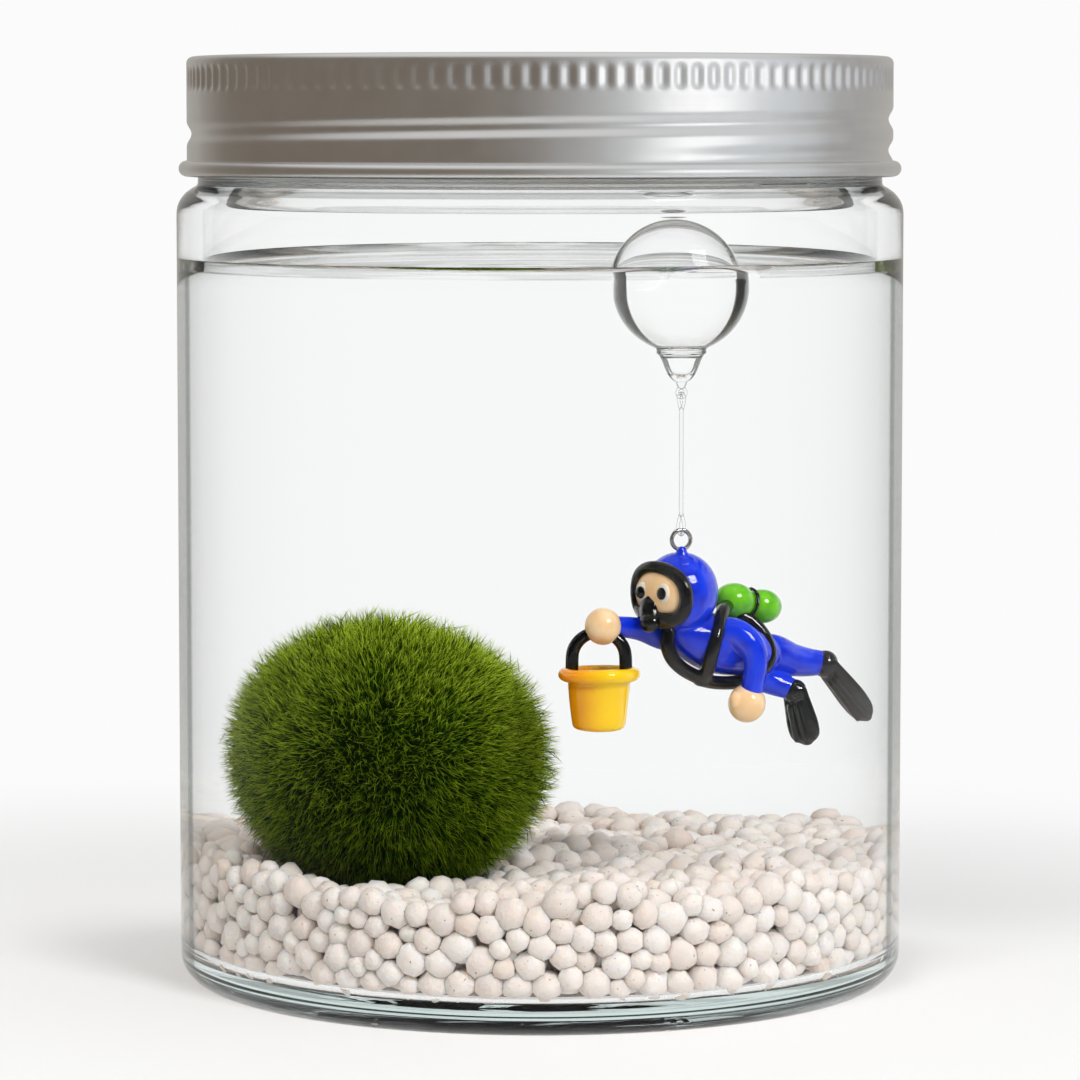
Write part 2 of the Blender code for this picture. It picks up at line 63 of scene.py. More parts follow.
# Pieces are modelled in millimetres, in the frame's own axes, and made metres when they are finished.
millimetre = 0.001


def nodeBox(name):
    low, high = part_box(name)
    return Vector(low) / millimetre, Vector(high) / millimetre


class Wire:
    # one socket of a node tree, so that shader maths reads as sums
    def __init__(self, sheet, socket):
        self.sheet = sheet
        self.socket = socket

    def math(self, operation, other, swapped=False):
        pair = (other, self) if swapped else (self, other)
        return self.sheet.node("ShaderNodeMath", {"operation": operation}, {0: pair[0], 1: pair[1]})

    def __add__(self, other):
        return self.math("ADD", other)

    __radd__ = __add__

    def __sub__(self, other):
        return self.math("SUBTRACT", other)

    def __rsub__(self, other):
        return self.math("SUBTRACT", other, swapped=True)

    def __mul__(self, other):
        return self.math("MULTIPLY", other)

    __rmul__ = __mul__

    def __pow__(self, other):
        return self.math("POWER", other)


class Sheet:
    # a node tree being laid out
    def __init__(self, tree):
        self.tree = tree
        tree.nodes.clear()

    def node(self, kind, settings, sockets, output=0):
        made = self.tree.nodes.new(kind)
        for key, value in settings.items():
            if key == "stops":
                self.setStops(made.color_ramp, value)
            else:
                setattr(made, key, value)
        for key, value in sockets.items():
            if isinstance(value, Wire):
                self.tree.links.new(value.socket, made.inputs[key])
            else:
                made.inputs[key].default_value = value
        return Wire(self, made.outputs[output]) if made.outputs else None

    def setStops(self, ramp, stops):
        # each stop has its place and a colour, or one number for a grey
        while len(ramp.elements) < len(stops):
            ramp.elements.new(0.5)
        for element, (place, colour) in zip(ramp.elements, stops):
            element.position = place
            element.color = (*(colour if isinstance(colour, tuple) else (colour,) * 3), 1.0)

    def place(self, scale=1.0 / millimetre):
        # where the point is on the piece, in millimetres
        point = self.node("ShaderNodeTexCoord", {}, {}, "Object")
        return self.node("ShaderNodeVectorMath", {"operation": "SCALE"}, {0: point, "Scale": scale})

    def split(self, vector):
        parts = self.tree.nodes.new("ShaderNodeSeparateXYZ")
        self.tree.links.new(vector.socket, parts.inputs[0])
        return [Wire(self, out) for out in parts.outputs]

    def cloud(self, place, scale, detail=2.0, roughness=0.5):
        sockets = {"Vector": place, "Scale": scale, "Detail": detail, "Roughness": roughness}
        return self.node("ShaderNodeTexNoise", {}, sockets)

    def ramp(self, value, stops):
        return self.node("ShaderNodeValToRGB", {"stops": stops}, {"Fac": value})

    def span(self, value, low, high, toLow=0.0, toHigh=1.0):
        sockets = {"Value": value, "From Min": low, "From Max": high, "To Min": toLow, "To Max": toHigh}
        return self.node("ShaderNodeMapRange", {"interpolation_type": "SMOOTHSTEP"}, sockets)

    def blend(self, factor, first, second, kind="MIX"):
        made = self.tree.nodes.new("ShaderNodeMix")
        made.data_type = "RGBA"
        made.blend_type = kind
        for key, value in (("Factor_Float", factor), ("A_Color", first), ("B_Color", second)):
            slot = next(entry for entry in made.inputs if entry.identifier == key)
            if isinstance(value, Wire):
                self.tree.links.new(value.socket, slot)
            else:
                slot.default_value = value if key == "Factor_Float" else (*value, 1.0)
        return Wire(self, next(out for out in made.outputs if out.identifier == "Result_Color"))

    def bump(self, height, strength, distance):
        return self.node("ShaderNodeBump", {}, {"Height": height, "Strength": strength,
                                                "Distance": distance * millimetre})

    def gloss(self, sockets):
        colours = {"Base Color", "Coat Tint", "Sheen Tint", "Specular Tint"}
        ready = {key: ((*value, 1.0) if key in colours and not isinstance(value, Wire) else value)
                 for key, value in sockets.items()}
        return self.node("ShaderNodeBsdfPrincipled", {}, ready)


def newMaterial(name):
    material = bpy.data.materials.new(name)
    material.use_nodes = True
    return material, Sheet(material.node_tree)


def surface(sheet, shader, volume=None):
    sockets = {"Surface": shader}
    if volume is not None:
        sockets["Volume"] = volume
    sheet.node("ShaderNodeOutputMaterial", {}, sockets)


water = {"level": 83.5, "rise": 1.45, "spread": 1.5, "floatRise": 0.9, "floatSpread": 0.7, "overlap": 0.06,
         "segments": 256}


# rim is the painted shade colour mixed into the jar's outline, its shoulder bands and its foot
glassLook = {"rim": (0.085, 0.105, 0.098), "absorb": (0.50, 0.72, 0.68), "density": 8.0, "mirror": 0.45,
             "wallMirror": 0.10,
             # the throat stops place painted shade bands in the shoulder glass just under the lid
             "throatShadeBand": [(0.14, 0.0), (0.20, 0.60), (0.45, 0.35), (0.62, 0.65),
                        (0.70, 0.0), (0.84, 0.0), (0.87, 0.6), (0.92, 0.0)]}
# edge is the painted shade colour of the water's rim where it climbs the wall
waterLook = {"index": 1.2, "edge": (0.05, 0.062, 0.052), "absorb": (0.80, 0.86, 0.86), "density": 0.8}
jarLow, jarHigh = nodeBox("jar")
jarWall = 3.0
lineLow, lineHigh = nodeBox("hang_ring")
mossLow, mossHigh = nodeBox("moss_ball")
plumbX = 0.5 * (lineLow.x + lineHigh.x)
plumbY = 0.5 * (lineLow.y + lineHigh.y)


def clearGlass(sheet, colour, index, mirror=1.0):
    # mirror scales how much the surface reflects face on: glass against water hardly does
    return sheet.gloss({"Base Color": colour, "Roughness": 0.0, "IOR": index, "Transmission Weight": 1.0,
                        "Specular Tint": (mirror,) * 3})


def turnedAway(sheet):
    # cosine of the level angle between the surface and the eye: 1 facing it, 0 at the outline
    facing = sheet.node("ShaderNodeLayerWeight", {}, {"Blend": 0.5}, "Facing")
    normal = sheet.node("ShaderNodeNewGeometry", {}, {}, "Normal")
    up = sheet.split(normal)[2]
    level = (1.0 - up * up) ** 0.5
    return sheet.node("ShaderNodeMath", {"operation": "DIVIDE"}, {0: 1.0 - facing, 1: level + 0.001})


def reachFrom(sheet, x, y):
    # level distance from an upright line
    line = sheet.node("ShaderNodeVectorMath", {"operation": "SUBTRACT"}, {0: sheet.place(), 1: (x, y, 0.0)})
    flat = sheet.node("ShaderNodeVectorMath", {"operation": "MULTIPLY"}, {0: line, 1: (1.0, 1.0, 0.0)})
    return sheet.node("ShaderNodeVectorMath", {"operation": "LENGTH"}, {0: flat}, "Value")


def below(sheet, value, limit):
    return sheet.node("ShaderNodeMath", {"operation": "LESS_THAN"}, {0: value, 1: limit})


def mixed(sheet, factor, first, second):
    return sheet.node("ShaderNodeMixShader", {}, {0: factor, 1: first, 2: second})


def jarGlass():
    # painted shade: the glass colour darkens towards the outline, more so under the water, where the real jar
    # bends the view past the lit background; its inner wall hardly shines where water lies against it
    material, sheet = newMaterial("clearJarGlass")
    away = turnedAway(sheet)
    across, back, up = sheet.split(sheet.place())
    wetOutlineShade = sheet.ramp(away, [(0.0, 0.25), (0.05, 0.22), (0.12, 0.36), (0.20, 0.52),
                               (0.215, 0.86), (0.245, 0.92), (0.27, 0.16),
                               (0.36, 0.05), (0.52, 0.0)])
    empty = sheet.ramp(away, [(0.0, 0.35), (0.07, 0.28), (0.16, 0.10), (0.22, 0.05),
                              (0.25, 0.12), (0.33, 0.04), (0.42, 0.0)])
    under = sheet.span(up, water["level"] + 1.3, water["level"] + 1.1)
    # painted shade: dark bands in the shoulder glass just under the lid
    throatShadeBand = sheet.ramp(sheet.span(up, 91.9, 93.9, 0.0, 1.0), glassLook["throatShadeBand"])
    outer = 1.0 - below(sheet, reachFrom(sheet, 0.0, 0.0), jarHigh.x - jarWall + 0.4)
    shade = sheet.blend(under, empty, wetOutlineShade)
    shade = sheet.node("ShaderNodeMath", {"operation": "MAXIMUM"}, {0: shade, 1: throatShadeBand * outer})
    around = sheet.node("ShaderNodeMath", {"operation": "ARCTAN2"}, {0: back, 1: across})
    drawn = sheet.node("ShaderNodeCombineXYZ", {}, {"X": around * 2.2, "Y": up * 1.5})
    # painted shade: dark streaks round the glass foot, stronger towards the two sides across
    shadeStreaks = sheet.span(sheet.cloud(drawn, 1.0, 2.0, 0.5), 0.44, 0.60)
    heel = sheet.ramp(up * 0.25, [(0.02, 0.3), (0.08, 0.06), (0.25, 0.03), (0.42, 0.42),
                                  (0.70, 0.46), (0.90, 0.0)])
    toSide = sheet.node("ShaderNodeMath", {"operation": "ABSOLUTE"}, {0: across * 0.0235})
    heel = heel * outer * (shadeStreaks * 0.35 + toSide * toSide * 0.65)
    shade = sheet.node("ShaderNodeMath", {"operation": "MAXIMUM"}, {0: shade, 1: heel})
    curved = mixed(sheet, shade, clearGlass(sheet, (1.0, 1.0, 1.0), 1.5, glassLook["mirror"]),
                   clearGlass(sheet, glassLook["rim"], 1.5, glassLook["mirror"]))
    plain = mixed(sheet, shade, clearGlass(sheet, (1.0, 1.0, 1.0), 1.5, glassLook["wallMirror"]),
                  clearGlass(sheet, glassLook["rim"], 1.5, glassLook["wallMirror"]))
    straight = below(sheet, up, 88.0) * (1.0 - below(sheet, up, 4.2))
    outline = mixed(sheet, straight, curved, plain)
    inside = below(sheet, reachFrom(sheet, 0.0, 0.0), jarHigh.x - jarWall + 0.1)
    wet = inside * below(sheet, up, water["level"] + water["rise"]) * (1.0 - below(sheet, up, 3.3))
    tint = sheet.node("ShaderNodeVolumeAbsorption", {}, {"Color": (*glassLook["absorb"], 1.0),
                                                         "Density": glassLook["density"]})
    surface(sheet, mixed(sheet, wet, outline, clearGlass(sheet, (1.0, 1.0, 1.0), 1.5, 0.0)), tint)
    return material


def floatGlass():
    # a hollow ball under water throws the sides of the room towards the eye; here its flanks, under water and
    # in a band above it, are painted shade, a dark glass colour mixed in by angle and height
    material, sheet = newMaterial("blownFloatGlass")
    up = sheet.split(sheet.place())[2]
    under = below(sheet, up, water["level"] + water["floatRise"])
    away = turnedAway(sheet)
    normal = sheet.node("ShaderNodeNewGeometry", {}, {}, "Normal")
    steep = sheet.node("ShaderNodeMath", {"operation": "ABSOLUTE"}, {0: sheet.split(normal)[2]})
    above = sheet.span(away, 0.36, 0.30) * (1.0 - under) * sheet.span(steep, 0.72, 0.35)
    sunk = sheet.span(away, 0.585, 0.555) * under
    clear = mixed(sheet, under, clearGlass(sheet, (1.0, 1.0, 1.0), 1.5, 0.25),
                  clearGlass(sheet, (1.0, 1.0, 1.0), 1.5, 0.0))
    dark = clearGlass(sheet, (0.045, 0.045, 0.04), 1.5)
    surface(sheet, mixed(sheet, above + sunk, clear, dark))
    return material


def wetGlass():
    # solid glass under water bends light only a little
    material, sheet = newMaterial("linkGlassInWater")
    clear = clearGlass(sheet, (0.97, 0.98, 0.98), 1.14)
    # painted shade: the glass darkens towards its outline
    edge = clearGlass(sheet, (0.12, 0.12, 0.12), 1.14)
    facing = sheet.node("ShaderNodeLayerWeight", {}, {"Blend": 0.5}, "Facing")
    surface(sheet, mixed(sheet, sheet.span(facing, 0.2, 0.7), clear, edge))
    return material


def waterFinish():
    material, sheet = newMaterial("stillWater")
    up = sheet.split(sheet.node("ShaderNodeNewGeometry", {}, {}, "Normal"))[2]
    height = sheet.node("ShaderNodeMath", {"operation": "ABSOLUTE"}, {0: up})
    against = below(sheet, height, 0.12)
    across, back, up = sheet.split(sheet.place())
    around = sheet.node("ShaderNodeMath", {"operation": "ARCTAN2"}, {0: back, 1: across})
    drawn = sheet.node("ShaderNodeCombineXYZ", {}, {"X": around * 3.0, "Y": up * 2.6})
    shadeStreaks = sheet.span(sheet.cloud(drawn, 1.0, 3.0, 0.55), 0.40, 0.58)
    # painted shade: the water's surface darkens in streaks where it climbs the wall, more towards the two
    # sides across
    lift = (up - water["level"]) * (1.0 / water["rise"])
    meniscusShade = sheet.ramp(lift, [(0.02, 0.0), (0.10, 0.75), (0.22, 0.35), (0.55, 0.40),
                              (0.85, 0.75), (1.0, 0.85)])
    toSide = sheet.node("ShaderNodeMath", {"operation": "ABSOLUTE"}, {0: across * 0.025})
    nearWall = 1.0 - below(sheet, reachFrom(sheet, 0.0, 0.0), 34.0)
    shade = meniscusShade * nearWall * (shadeStreaks * 0.5 + toSide * toSide * 0.5 + 0.1)
    top = mixed(sheet, shade, clearGlass(sheet, (1.0, 1.0, 1.0), waterLook["index"]),
                clearGlass(sheet, waterLook["edge"], waterLook["index"], 0.5))
    side = clearGlass(sheet, (1.0, 1.0, 1.0), waterLook["index"], 0.0)
    atFloat = below(sheet, reachFrom(sheet, plumbX, plumbY), 7.25)
    side = mixed(sheet, atFloat, side, clearGlass(sheet, (1.0, 1.0, 1.0), 1.01, 0.0))
    tint = sheet.node("ShaderNodeVolumeAbsorption", {}, {"Color": (*waterLook["absorb"], 1.0),
                                                         "Density": waterLook["density"]})
    low = below(sheet, up, water["level"] - 0.05)
    ball = atFloat * low
    surface(sheet, mixed(sheet, 1.0 - (1.0 - against) * (1.0 - ball), top, side), tint)
    return material


def lidFinish():
    material, sheet = newMaterial("satinAluminium")
    place = sheet.place()
    across, back, up = sheet.split(place)
    around = sheet.node("ShaderNodeMath", {"operation": "ARCTAN2"}, {0: back, 1: across})
    turned = sheet.node("ShaderNodeCombineXYZ", {}, {"X": around * 1.2, "Y": up * 5.0})
    rolling = sheet.cloud(turned, 1.0, 2.0, 0.5)       # faint lines left by the rolling wheels
    cloudy = sheet.cloud(place, 0.35, 3.0)
    colour = sheet.blend(cloudy, (0.74, 0.735, 0.725), (0.80, 0.80, 0.80))
    rough = sheet.span(cloudy, 0.3, 0.7, 0.27, 0.32) + rolling * 0.05
    surface(sheet, sheet.gloss({"Base Color": colour, "Metallic": 1.0, "Roughness": rough}))
    return material


def linerFinish():
    material, sheet = newMaterial("foamLiner")
    place = sheet.place()
    cells = sheet.cloud(place, 3.0, 4.0, 0.7)
    colour = sheet.blend(cells, (0.80, 0.80, 0.79), (0.90, 0.90, 0.89))
    normal = sheet.bump(cells, 0.3, 0.05)
    surface(sheet, sheet.gloss({"Base Color": colour, "Roughness": 0.6, "Normal": normal}))
    return material


def pelletFinish():
    material, sheet = newMaterial("paleCeramicPellets")
    place = sheet.place()
    shade = sheet.node("ShaderNodeAttribute", {"attribute_name": "shade"}, {}, "Fac")
    pores = sheet.cloud(place, 2.6, 4.0, 0.6)
    stains = sheet.cloud(place, 0.9, 2.0)
    specks = sheet.cloud(place, 3.4, 0.0)
    body = sheet.ramp(shade, [(0.0, (0.74, 0.64, 0.57)), (0.4, (0.79, 0.72, 0.67)),
                              (1.0, (0.83, 0.79, 0.76))])
    worn = sheet.blend(sheet.span(stains, 0.5, 0.72) * 0.35, body, (0.82, 0.70, 0.58))
    colour = sheet.blend(sheet.span(specks, 0.80, 0.84) * 0.8, worn, (0.16, 0.11, 0.08))
    normal = sheet.bump(pores, 0.9, 0.16)
    surface(sheet, sheet.gloss({"Base Color": colour, "Roughness": 0.55, "Specular IOR Level": 0.3,
                                "Subsurface Weight": 0.6, "Subsurface Radius": (1.0, 0.72, 0.52),
                                "Subsurface Scale": 0.0011, "Normal": normal}))
    return material


def mossFinish():
    material, sheet = newMaterial("mossFibres")
    place = sheet.place()
    grown = sheet.node("ShaderNodeAttribute", {"attribute_name": "grown"}, {}, "Fac")
    patches = sheet.cloud(place, 0.22, 3.0)
    across, back, up = sheet.split(place)
    toSide = (across - 0.5 * (mossLow.x + mossHigh.x)) * (2.0 / (mossHigh.x - mossLow.x))
    # painted light and shade: the colour runs lighter towards the top and the two sides across, where light
    # falls and the rims catch it, and dark towards the fibres' roots as painted shade deep among them; the
    # patches are the moss's own tone
    value = grown + (patches - 0.5) * 0.3 + (up - mossLow.z) * 0.0125 + toSide * toSide * 0.24 - 0.09
    colour = sheet.ramp(value, [(0.0, (0.003, 0.010, 0.001)), (0.35, (0.015, 0.048, 0.001)),
                                (0.60, (0.10, 0.22, 0.003)), (0.80, (0.34, 0.52, 0.010)),
                                (1.0, (0.66, 0.84, 0.07))])
    fibre = sheet.gloss({"Base Color": colour, "Roughness": 0.6, "Specular IOR Level": 0.05})
    surface(sheet, mixed(sheet, 0.4, fibre, sheet.node("ShaderNodeBsdfTranslucent", {}, {"Color": colour})))
    return material


def meltedGlass(name, colour, deeper, streak=0.0):
    # opaque glass worked in a flame: thick gloss over a colour that clouds a little
    material, sheet = newMaterial(name)
    place = sheet.place()
    swirl = sheet.cloud(place, 0.55, 2.0)
    tone = sheet.blend(sheet.span(swirl, 0.35, 0.75), colour, deeper)
    if streak:
        fine = sheet.cloud(place, 2.2, 3.0)
        tone = sheet.blend(sheet.span(fine, 0.55, 0.8) * streak, tone, deeper)
    ripple = sheet.bump(sheet.cloud(place, 0.7, 1.0), 0.08, 0.2)
    surface(sheet, sheet.gloss({"Base Color": tone, "Roughness": 0.03, "IOR": 1.5,
                                "Specular IOR Level": 0.7, "Normal": ripple}))
    return material


def bucketGlass():
    # the yellow runs to orange on one side
    material, sheet = newMaterial("yellowGlass")
    place = sheet.place()
    across = sheet.split(place)[0]
    swirl = sheet.cloud(place, 0.5, 2.0)
    warm = sheet.span(across + swirl * 2.6, 9.2, 3.6)
    colour = sheet.blend(warm, (0.96, 0.60, 0.006), (0.96, 0.31, 0.003))
    ripple = sheet.bump(sheet.cloud(place, 0.9, 1.0), 0.12, 0.25)
    surface(sheet, sheet.gloss({"Base Color": colour, "Roughness": 0.05, "IOR": 1.5,
                                "Specular IOR Level": 0.7, "Normal": ripple}))
    return material


def steelWire():
    material, sheet = newMaterial("steelWire")
    grain = sheet.cloud(sheet.place(), 6.0, 2.0)
    rough = sheet.span(grain, 0.3, 0.7, 0.16, 0.28)
    surface(sheet, sheet.gloss({"Base Color": (0.60, 0.58, 0.56), "Metallic": 1.0, "Roughness": rough}))
    return material


finishes = {
    "jar": jarGlass(), "float": floatGlass(), "link": wetGlass(), "water": waterFinish(), "lid": lidFinish(),
    "liner": linerFinish(), "pellets": pelletFinish(), "moss": mossFinish(), "bucket": bucketGlass(),
    "ring": steelWire(),
    "suit": meltedGlass("blueGlass", (0.003, 0.040, 0.76), (0.002, 0.016, 0.52)),
    "black": meltedGlass("blackGlass", (0.002, 0.002, 0.002), (0.006, 0.005, 0.005)),
    "skin": meltedGlass("skinGlass", (0.90, 0.58, 0.30), (0.94, 0.70, 0.42), 0.3),
    "white": meltedGlass("whiteGlass", (0.86, 0.78, 0.66), (0.80, 0.70, 0.56)),
    "green": meltedGlass("greenGlass", (0.17, 0.60, 0.012), (0.09, 0.42, 0.008)),
}
print("materials ready")


def finishPiece(bm, name, finish, body, nodes, sharp=None, seesThrough=False):
    bmesh.ops.remove_doubles(bm, verts=bm.verts, dist=0.0004)
    bmesh.ops.recalc_face_normals(bm, faces=bm.faces)
    bmesh.ops.scale(bm, vec=(millimetre,) * 3, verts=bm.verts)
    for face in bm.faces:
        face.smooth = True
    mesh = bpy.data.meshes.new(name)
    bm.to_mesh(mesh)
    bm.free()
    if sharp is not None:
        mesh.set_sharp_from_angle(angle=radians(sharp))
    return placePiece(mesh, name, finish, body, nodes, seesThrough)


def placePiece(mesh, name, finish, body, nodes, seesThrough=False):
    piece = bpy.data.objects.new(name, mesh)
    scene.collection.objects.link(piece)
    mesh.materials.append(finishes[finish])
    if seesThrough:
        piece.visible_shadow = False
        piece.visible_diffuse = False
    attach(piece, body)
    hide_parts(*nodes)
    print("piece", name, "triangles", sum(len(face.vertices) - 2 for face in mesh.polygons))
    return piece


def arc(centre, radius, start, end, steps):
    angles = [radians(start + (end - start) * step / steps) for step in range(steps + 1)]
    return [(centre[0] + radius * cos(angle), centre[1] + radius * sin(angle)) for angle in angles]


def curveThrough(points, perSpan):
    # a smooth run through given points of any number of values each
    points = [np.array(point, dtype=float) for point in points]
    padded = [2 * points[0] - points[1]] + points + [2 * points[-1] - points[-2]]
    run = []
    for before, start, end, after in zip(padded, padded[1:], padded[2:], padded[3:]):
        for step in range(perSpan):
            t = step / perSpan
            run.append(0.5 * (2 * start + (end - before) * t
                              + (2 * before - 5 * start + 4 * end - after) * t ** 2
                              + (3 * start - before - 3 * end + after) * t ** 3))
    run.append(points[-1])
    return run


def turnOutline(bm, outline, steps, centre=(0.0, 0.0), doublings=0):
    # spins an outline of (radius, height) about an upright axis; a finely divided one is spun as
    # a sector, which is then doubled until it is whole, because a long spin is slow
    verts = [bm.verts.new((centre[0] + radius, centre[1], height)) for radius, height in outline]
    edges = [bm.edges.new(pair) for pair in zip(verts, verts[1:])]
    sectors = 2 ** doublings
    bmesh.ops.spin(bm, geom=verts + edges, cent=(*centre, 0.0), axis=(0.0, 0.0, 1.0), angle=2 * pi / sectors,
                   steps=steps // sectors, use_merge=sectors == 1)
    for step in range(doublings):
        copied = bmesh.ops.duplicate(bm, geom=bm.verts[:] + bm.edges[:] + bm.faces[:])["geom"]
        moved = [item for item in copied if isinstance(item, bmesh.types.BMVert)]
        turn = Matrix.Rotation(2 * pi * 2 ** step / sectors, 3, "Z")
        bmesh.ops.rotate(bm, cent=(*centre, 0.0), matrix=turn, verts=moved)
    bmesh.ops.remove_doubles(bm, verts=bm.verts, dist=0.0004)


def ringStack(bm, rings, segments):
    # joins upright-axis circles (centre x, centre y, radius, height) into one closed skin
    loops = []
    for x, y, radius, height in rings:
        turn = Matrix.Translation((x, y, height))
        made = bmesh.ops.create_circle(bm, radius=radius, segments=segments, matrix=turn)
        loops.append(list({edge for vert in made["verts"] for edge in vert.link_edges}))
    for lower, upper in zip(loops, loops[1:]):
        bmesh.ops.bridge_loops(bm, edges=lower + upper)
    for loop in (loops[0], loops[-1]):
        bmesh.ops.edgeloop_fill(bm, edges=loop)


def limb(bm, points, perSpan=6, sides=20, flat=1.0, up=None, caps=True):
    # a round bar along a smooth path of (x, y, z, radius), with domed ends
    run = curveThrough(points, perSpan)
    centres = [Vector(step[:3]) for step in run]
    radii = [float(step[3]) for step in run]
    heading = [(after - before).normalized() for before, after in
               zip([centres[0]] + centres[:-1], centres[1:] + [centres[-1]])]
    rings = list(zip(centres, heading, radii))
    if caps:
        domes = [(sin(radians(angle)), cos(radians(angle))) for angle in (25, 50, 70, 84)]
        first, last = rings[0], rings[-1]
        rings = ([(first[0] - first[1] * first[2] * out * flat, first[1], first[2] * near)
                  for out, near in reversed(domes)] + rings
                 + [(last[0] + last[1] * last[2] * out * flat, last[1], last[2] * near)
                    for out, near in domes])
    side = rings[0][1].orthogonal().normalized()
    loops = []
    for centre, direction, radius in rings:
        if up is not None:
            upward = Vector(up)
            normal = (upward - direction * upward.dot(direction)).normalized()
            side = direction.cross(normal)
        else:
            side = (side - direction * side.dot(direction)).normalized()
            normal = side.cross(direction)
        turn = Matrix((side, normal, direction)).transposed().to_4x4()
        place = Matrix.Translation(centre) @ turn @ Matrix.Diagonal((1.0, flat, 1.0, 1.0))
        made = bmesh.ops.create_circle(bm, radius=radius, segments=sides, matrix=place)
        loops.append(list({edge for vert in made["verts"] for edge in vert.link_edges}))
    for lower, upper in zip(loops, loops[1:]):
        bmesh.ops.bridge_loops(bm, edges=lower + upper)
    for loop in (loops[0], loops[-1]):
        bmesh.ops.edgeloop_fill(bm, edges=loop)


def hoop(bm, points, radius, sides=16):
    # a closed ring of wire through points; radius may be a list
    count = len(points)
    centres = [Vector(point) for point in points]
    radii = radius if isinstance(radius, list) else [radius] * count
    loops = []
    side = None
    for index, centre in enumerate(centres):
        direction = (centres[(index + 1) % count] - centres[index - 1]).normalized()
        side = direction.orthogonal().normalized() if side is None else (
            side - direction * side.dot(direction)).normalized()
        turn = Matrix((side, direction.cross(side), direction)).transposed().to_4x4()
        made = bmesh.ops.create_circle(bm, radius=radii[index], segments=sides,
                                       matrix=Matrix.Translation(centre) @ turn)
        loops.append(list({edge for vert in made["verts"] for edge in vert.link_edges}))
    for index, loop in enumerate(loops):
        bmesh.ops.bridge_loops(bm, edges=loop + loops[(index + 1) % count])


def blob(bm, centre, radii, turn=None, around=36, levels=24):
    place = Matrix.Translation(centre) @ (turn.to_4x4() if turn else Matrix.Identity(4))
    return bmesh.ops.create_uvsphere(bm, u_segments=around, v_segments=levels, radius=1.0,
                                     matrix=place @ Matrix.Diagonal((*radii, 1.0)))["verts"]


def fuse(bm, grid, rounds):
    # melts overlapping shapes into one skin, as glass runs together in a flame
    for face in bm.faces:
        face.smooth = True
    rough = bpy.data.meshes.new("melt")
    bm.to_mesh(rough)
    helper = bpy.data.objects.new("melt", rough)
    scene.collection.objects.link(helper)
    remesh = helper.modifiers.new("melt", "REMESH")
    remesh.mode = "VOXEL"
    remesh.voxel_size = grid
    smooth = helper.modifiers.new("ease", "SMOOTH")
    smooth.factor = 0.5
    smooth.iterations = rounds
    melted = bpy.data.meshes.new_from_object(helper.evaluated_get(bpy.context.evaluated_depsgraph_get()))
    bm.clear()
    bm.from_mesh(melted)
    bpy.data.objects.remove(helper)
    bpy.data.meshes.remove(rough)
    bpy.data.meshes.remove(melted)


def bell(distance):
    # 1 in the middle, 0 at a distance of 1, smooth at both
    return 0.5 + 0.5 * cos(pi * min(abs(distance), 1.0))


lidLow, lidHigh = nodeBox("lid")

jar = {"radius": jarHigh.x, "wall": jarWall, "floor": 3.4, "heel": 3.5, "floorCorner": 3.0, "bead": 40.0,
       "neck": 38.9, "mouth": 37.0, "top": jarHigh.z, "threadCrest": 40.0, "threadHeight": 99.4, "pitch": 3.6,
       "threadHalf": 1.25, "punt": 0.55, "steps": 320}


def threadHeight(angle):
    # height of the thread line at an angle in degrees from +X, right-handed
    return jar["threadHeight"] + jar["pitch"] * (angle - 180.0) / 360.0


def threadRelief(x, y, z, start, end, fade, half, lift=0.0):
    # how much of the thread is at a point: 1 on its line, 0 away from it or past its ends
    most = 0.0
    turn = atan2(y, x) * 180.0 / pi
    for whole in (-1, 0, 1, 2):
        angle = turn + 360.0 * whole
        if start < angle < end:
            ends = min(1.0, (angle - start) / fade, (end - angle) / fade)
            most = max(most, bell((z - threadHeight(angle) - lift) / half) * bell(1.0 - ends))
    return most


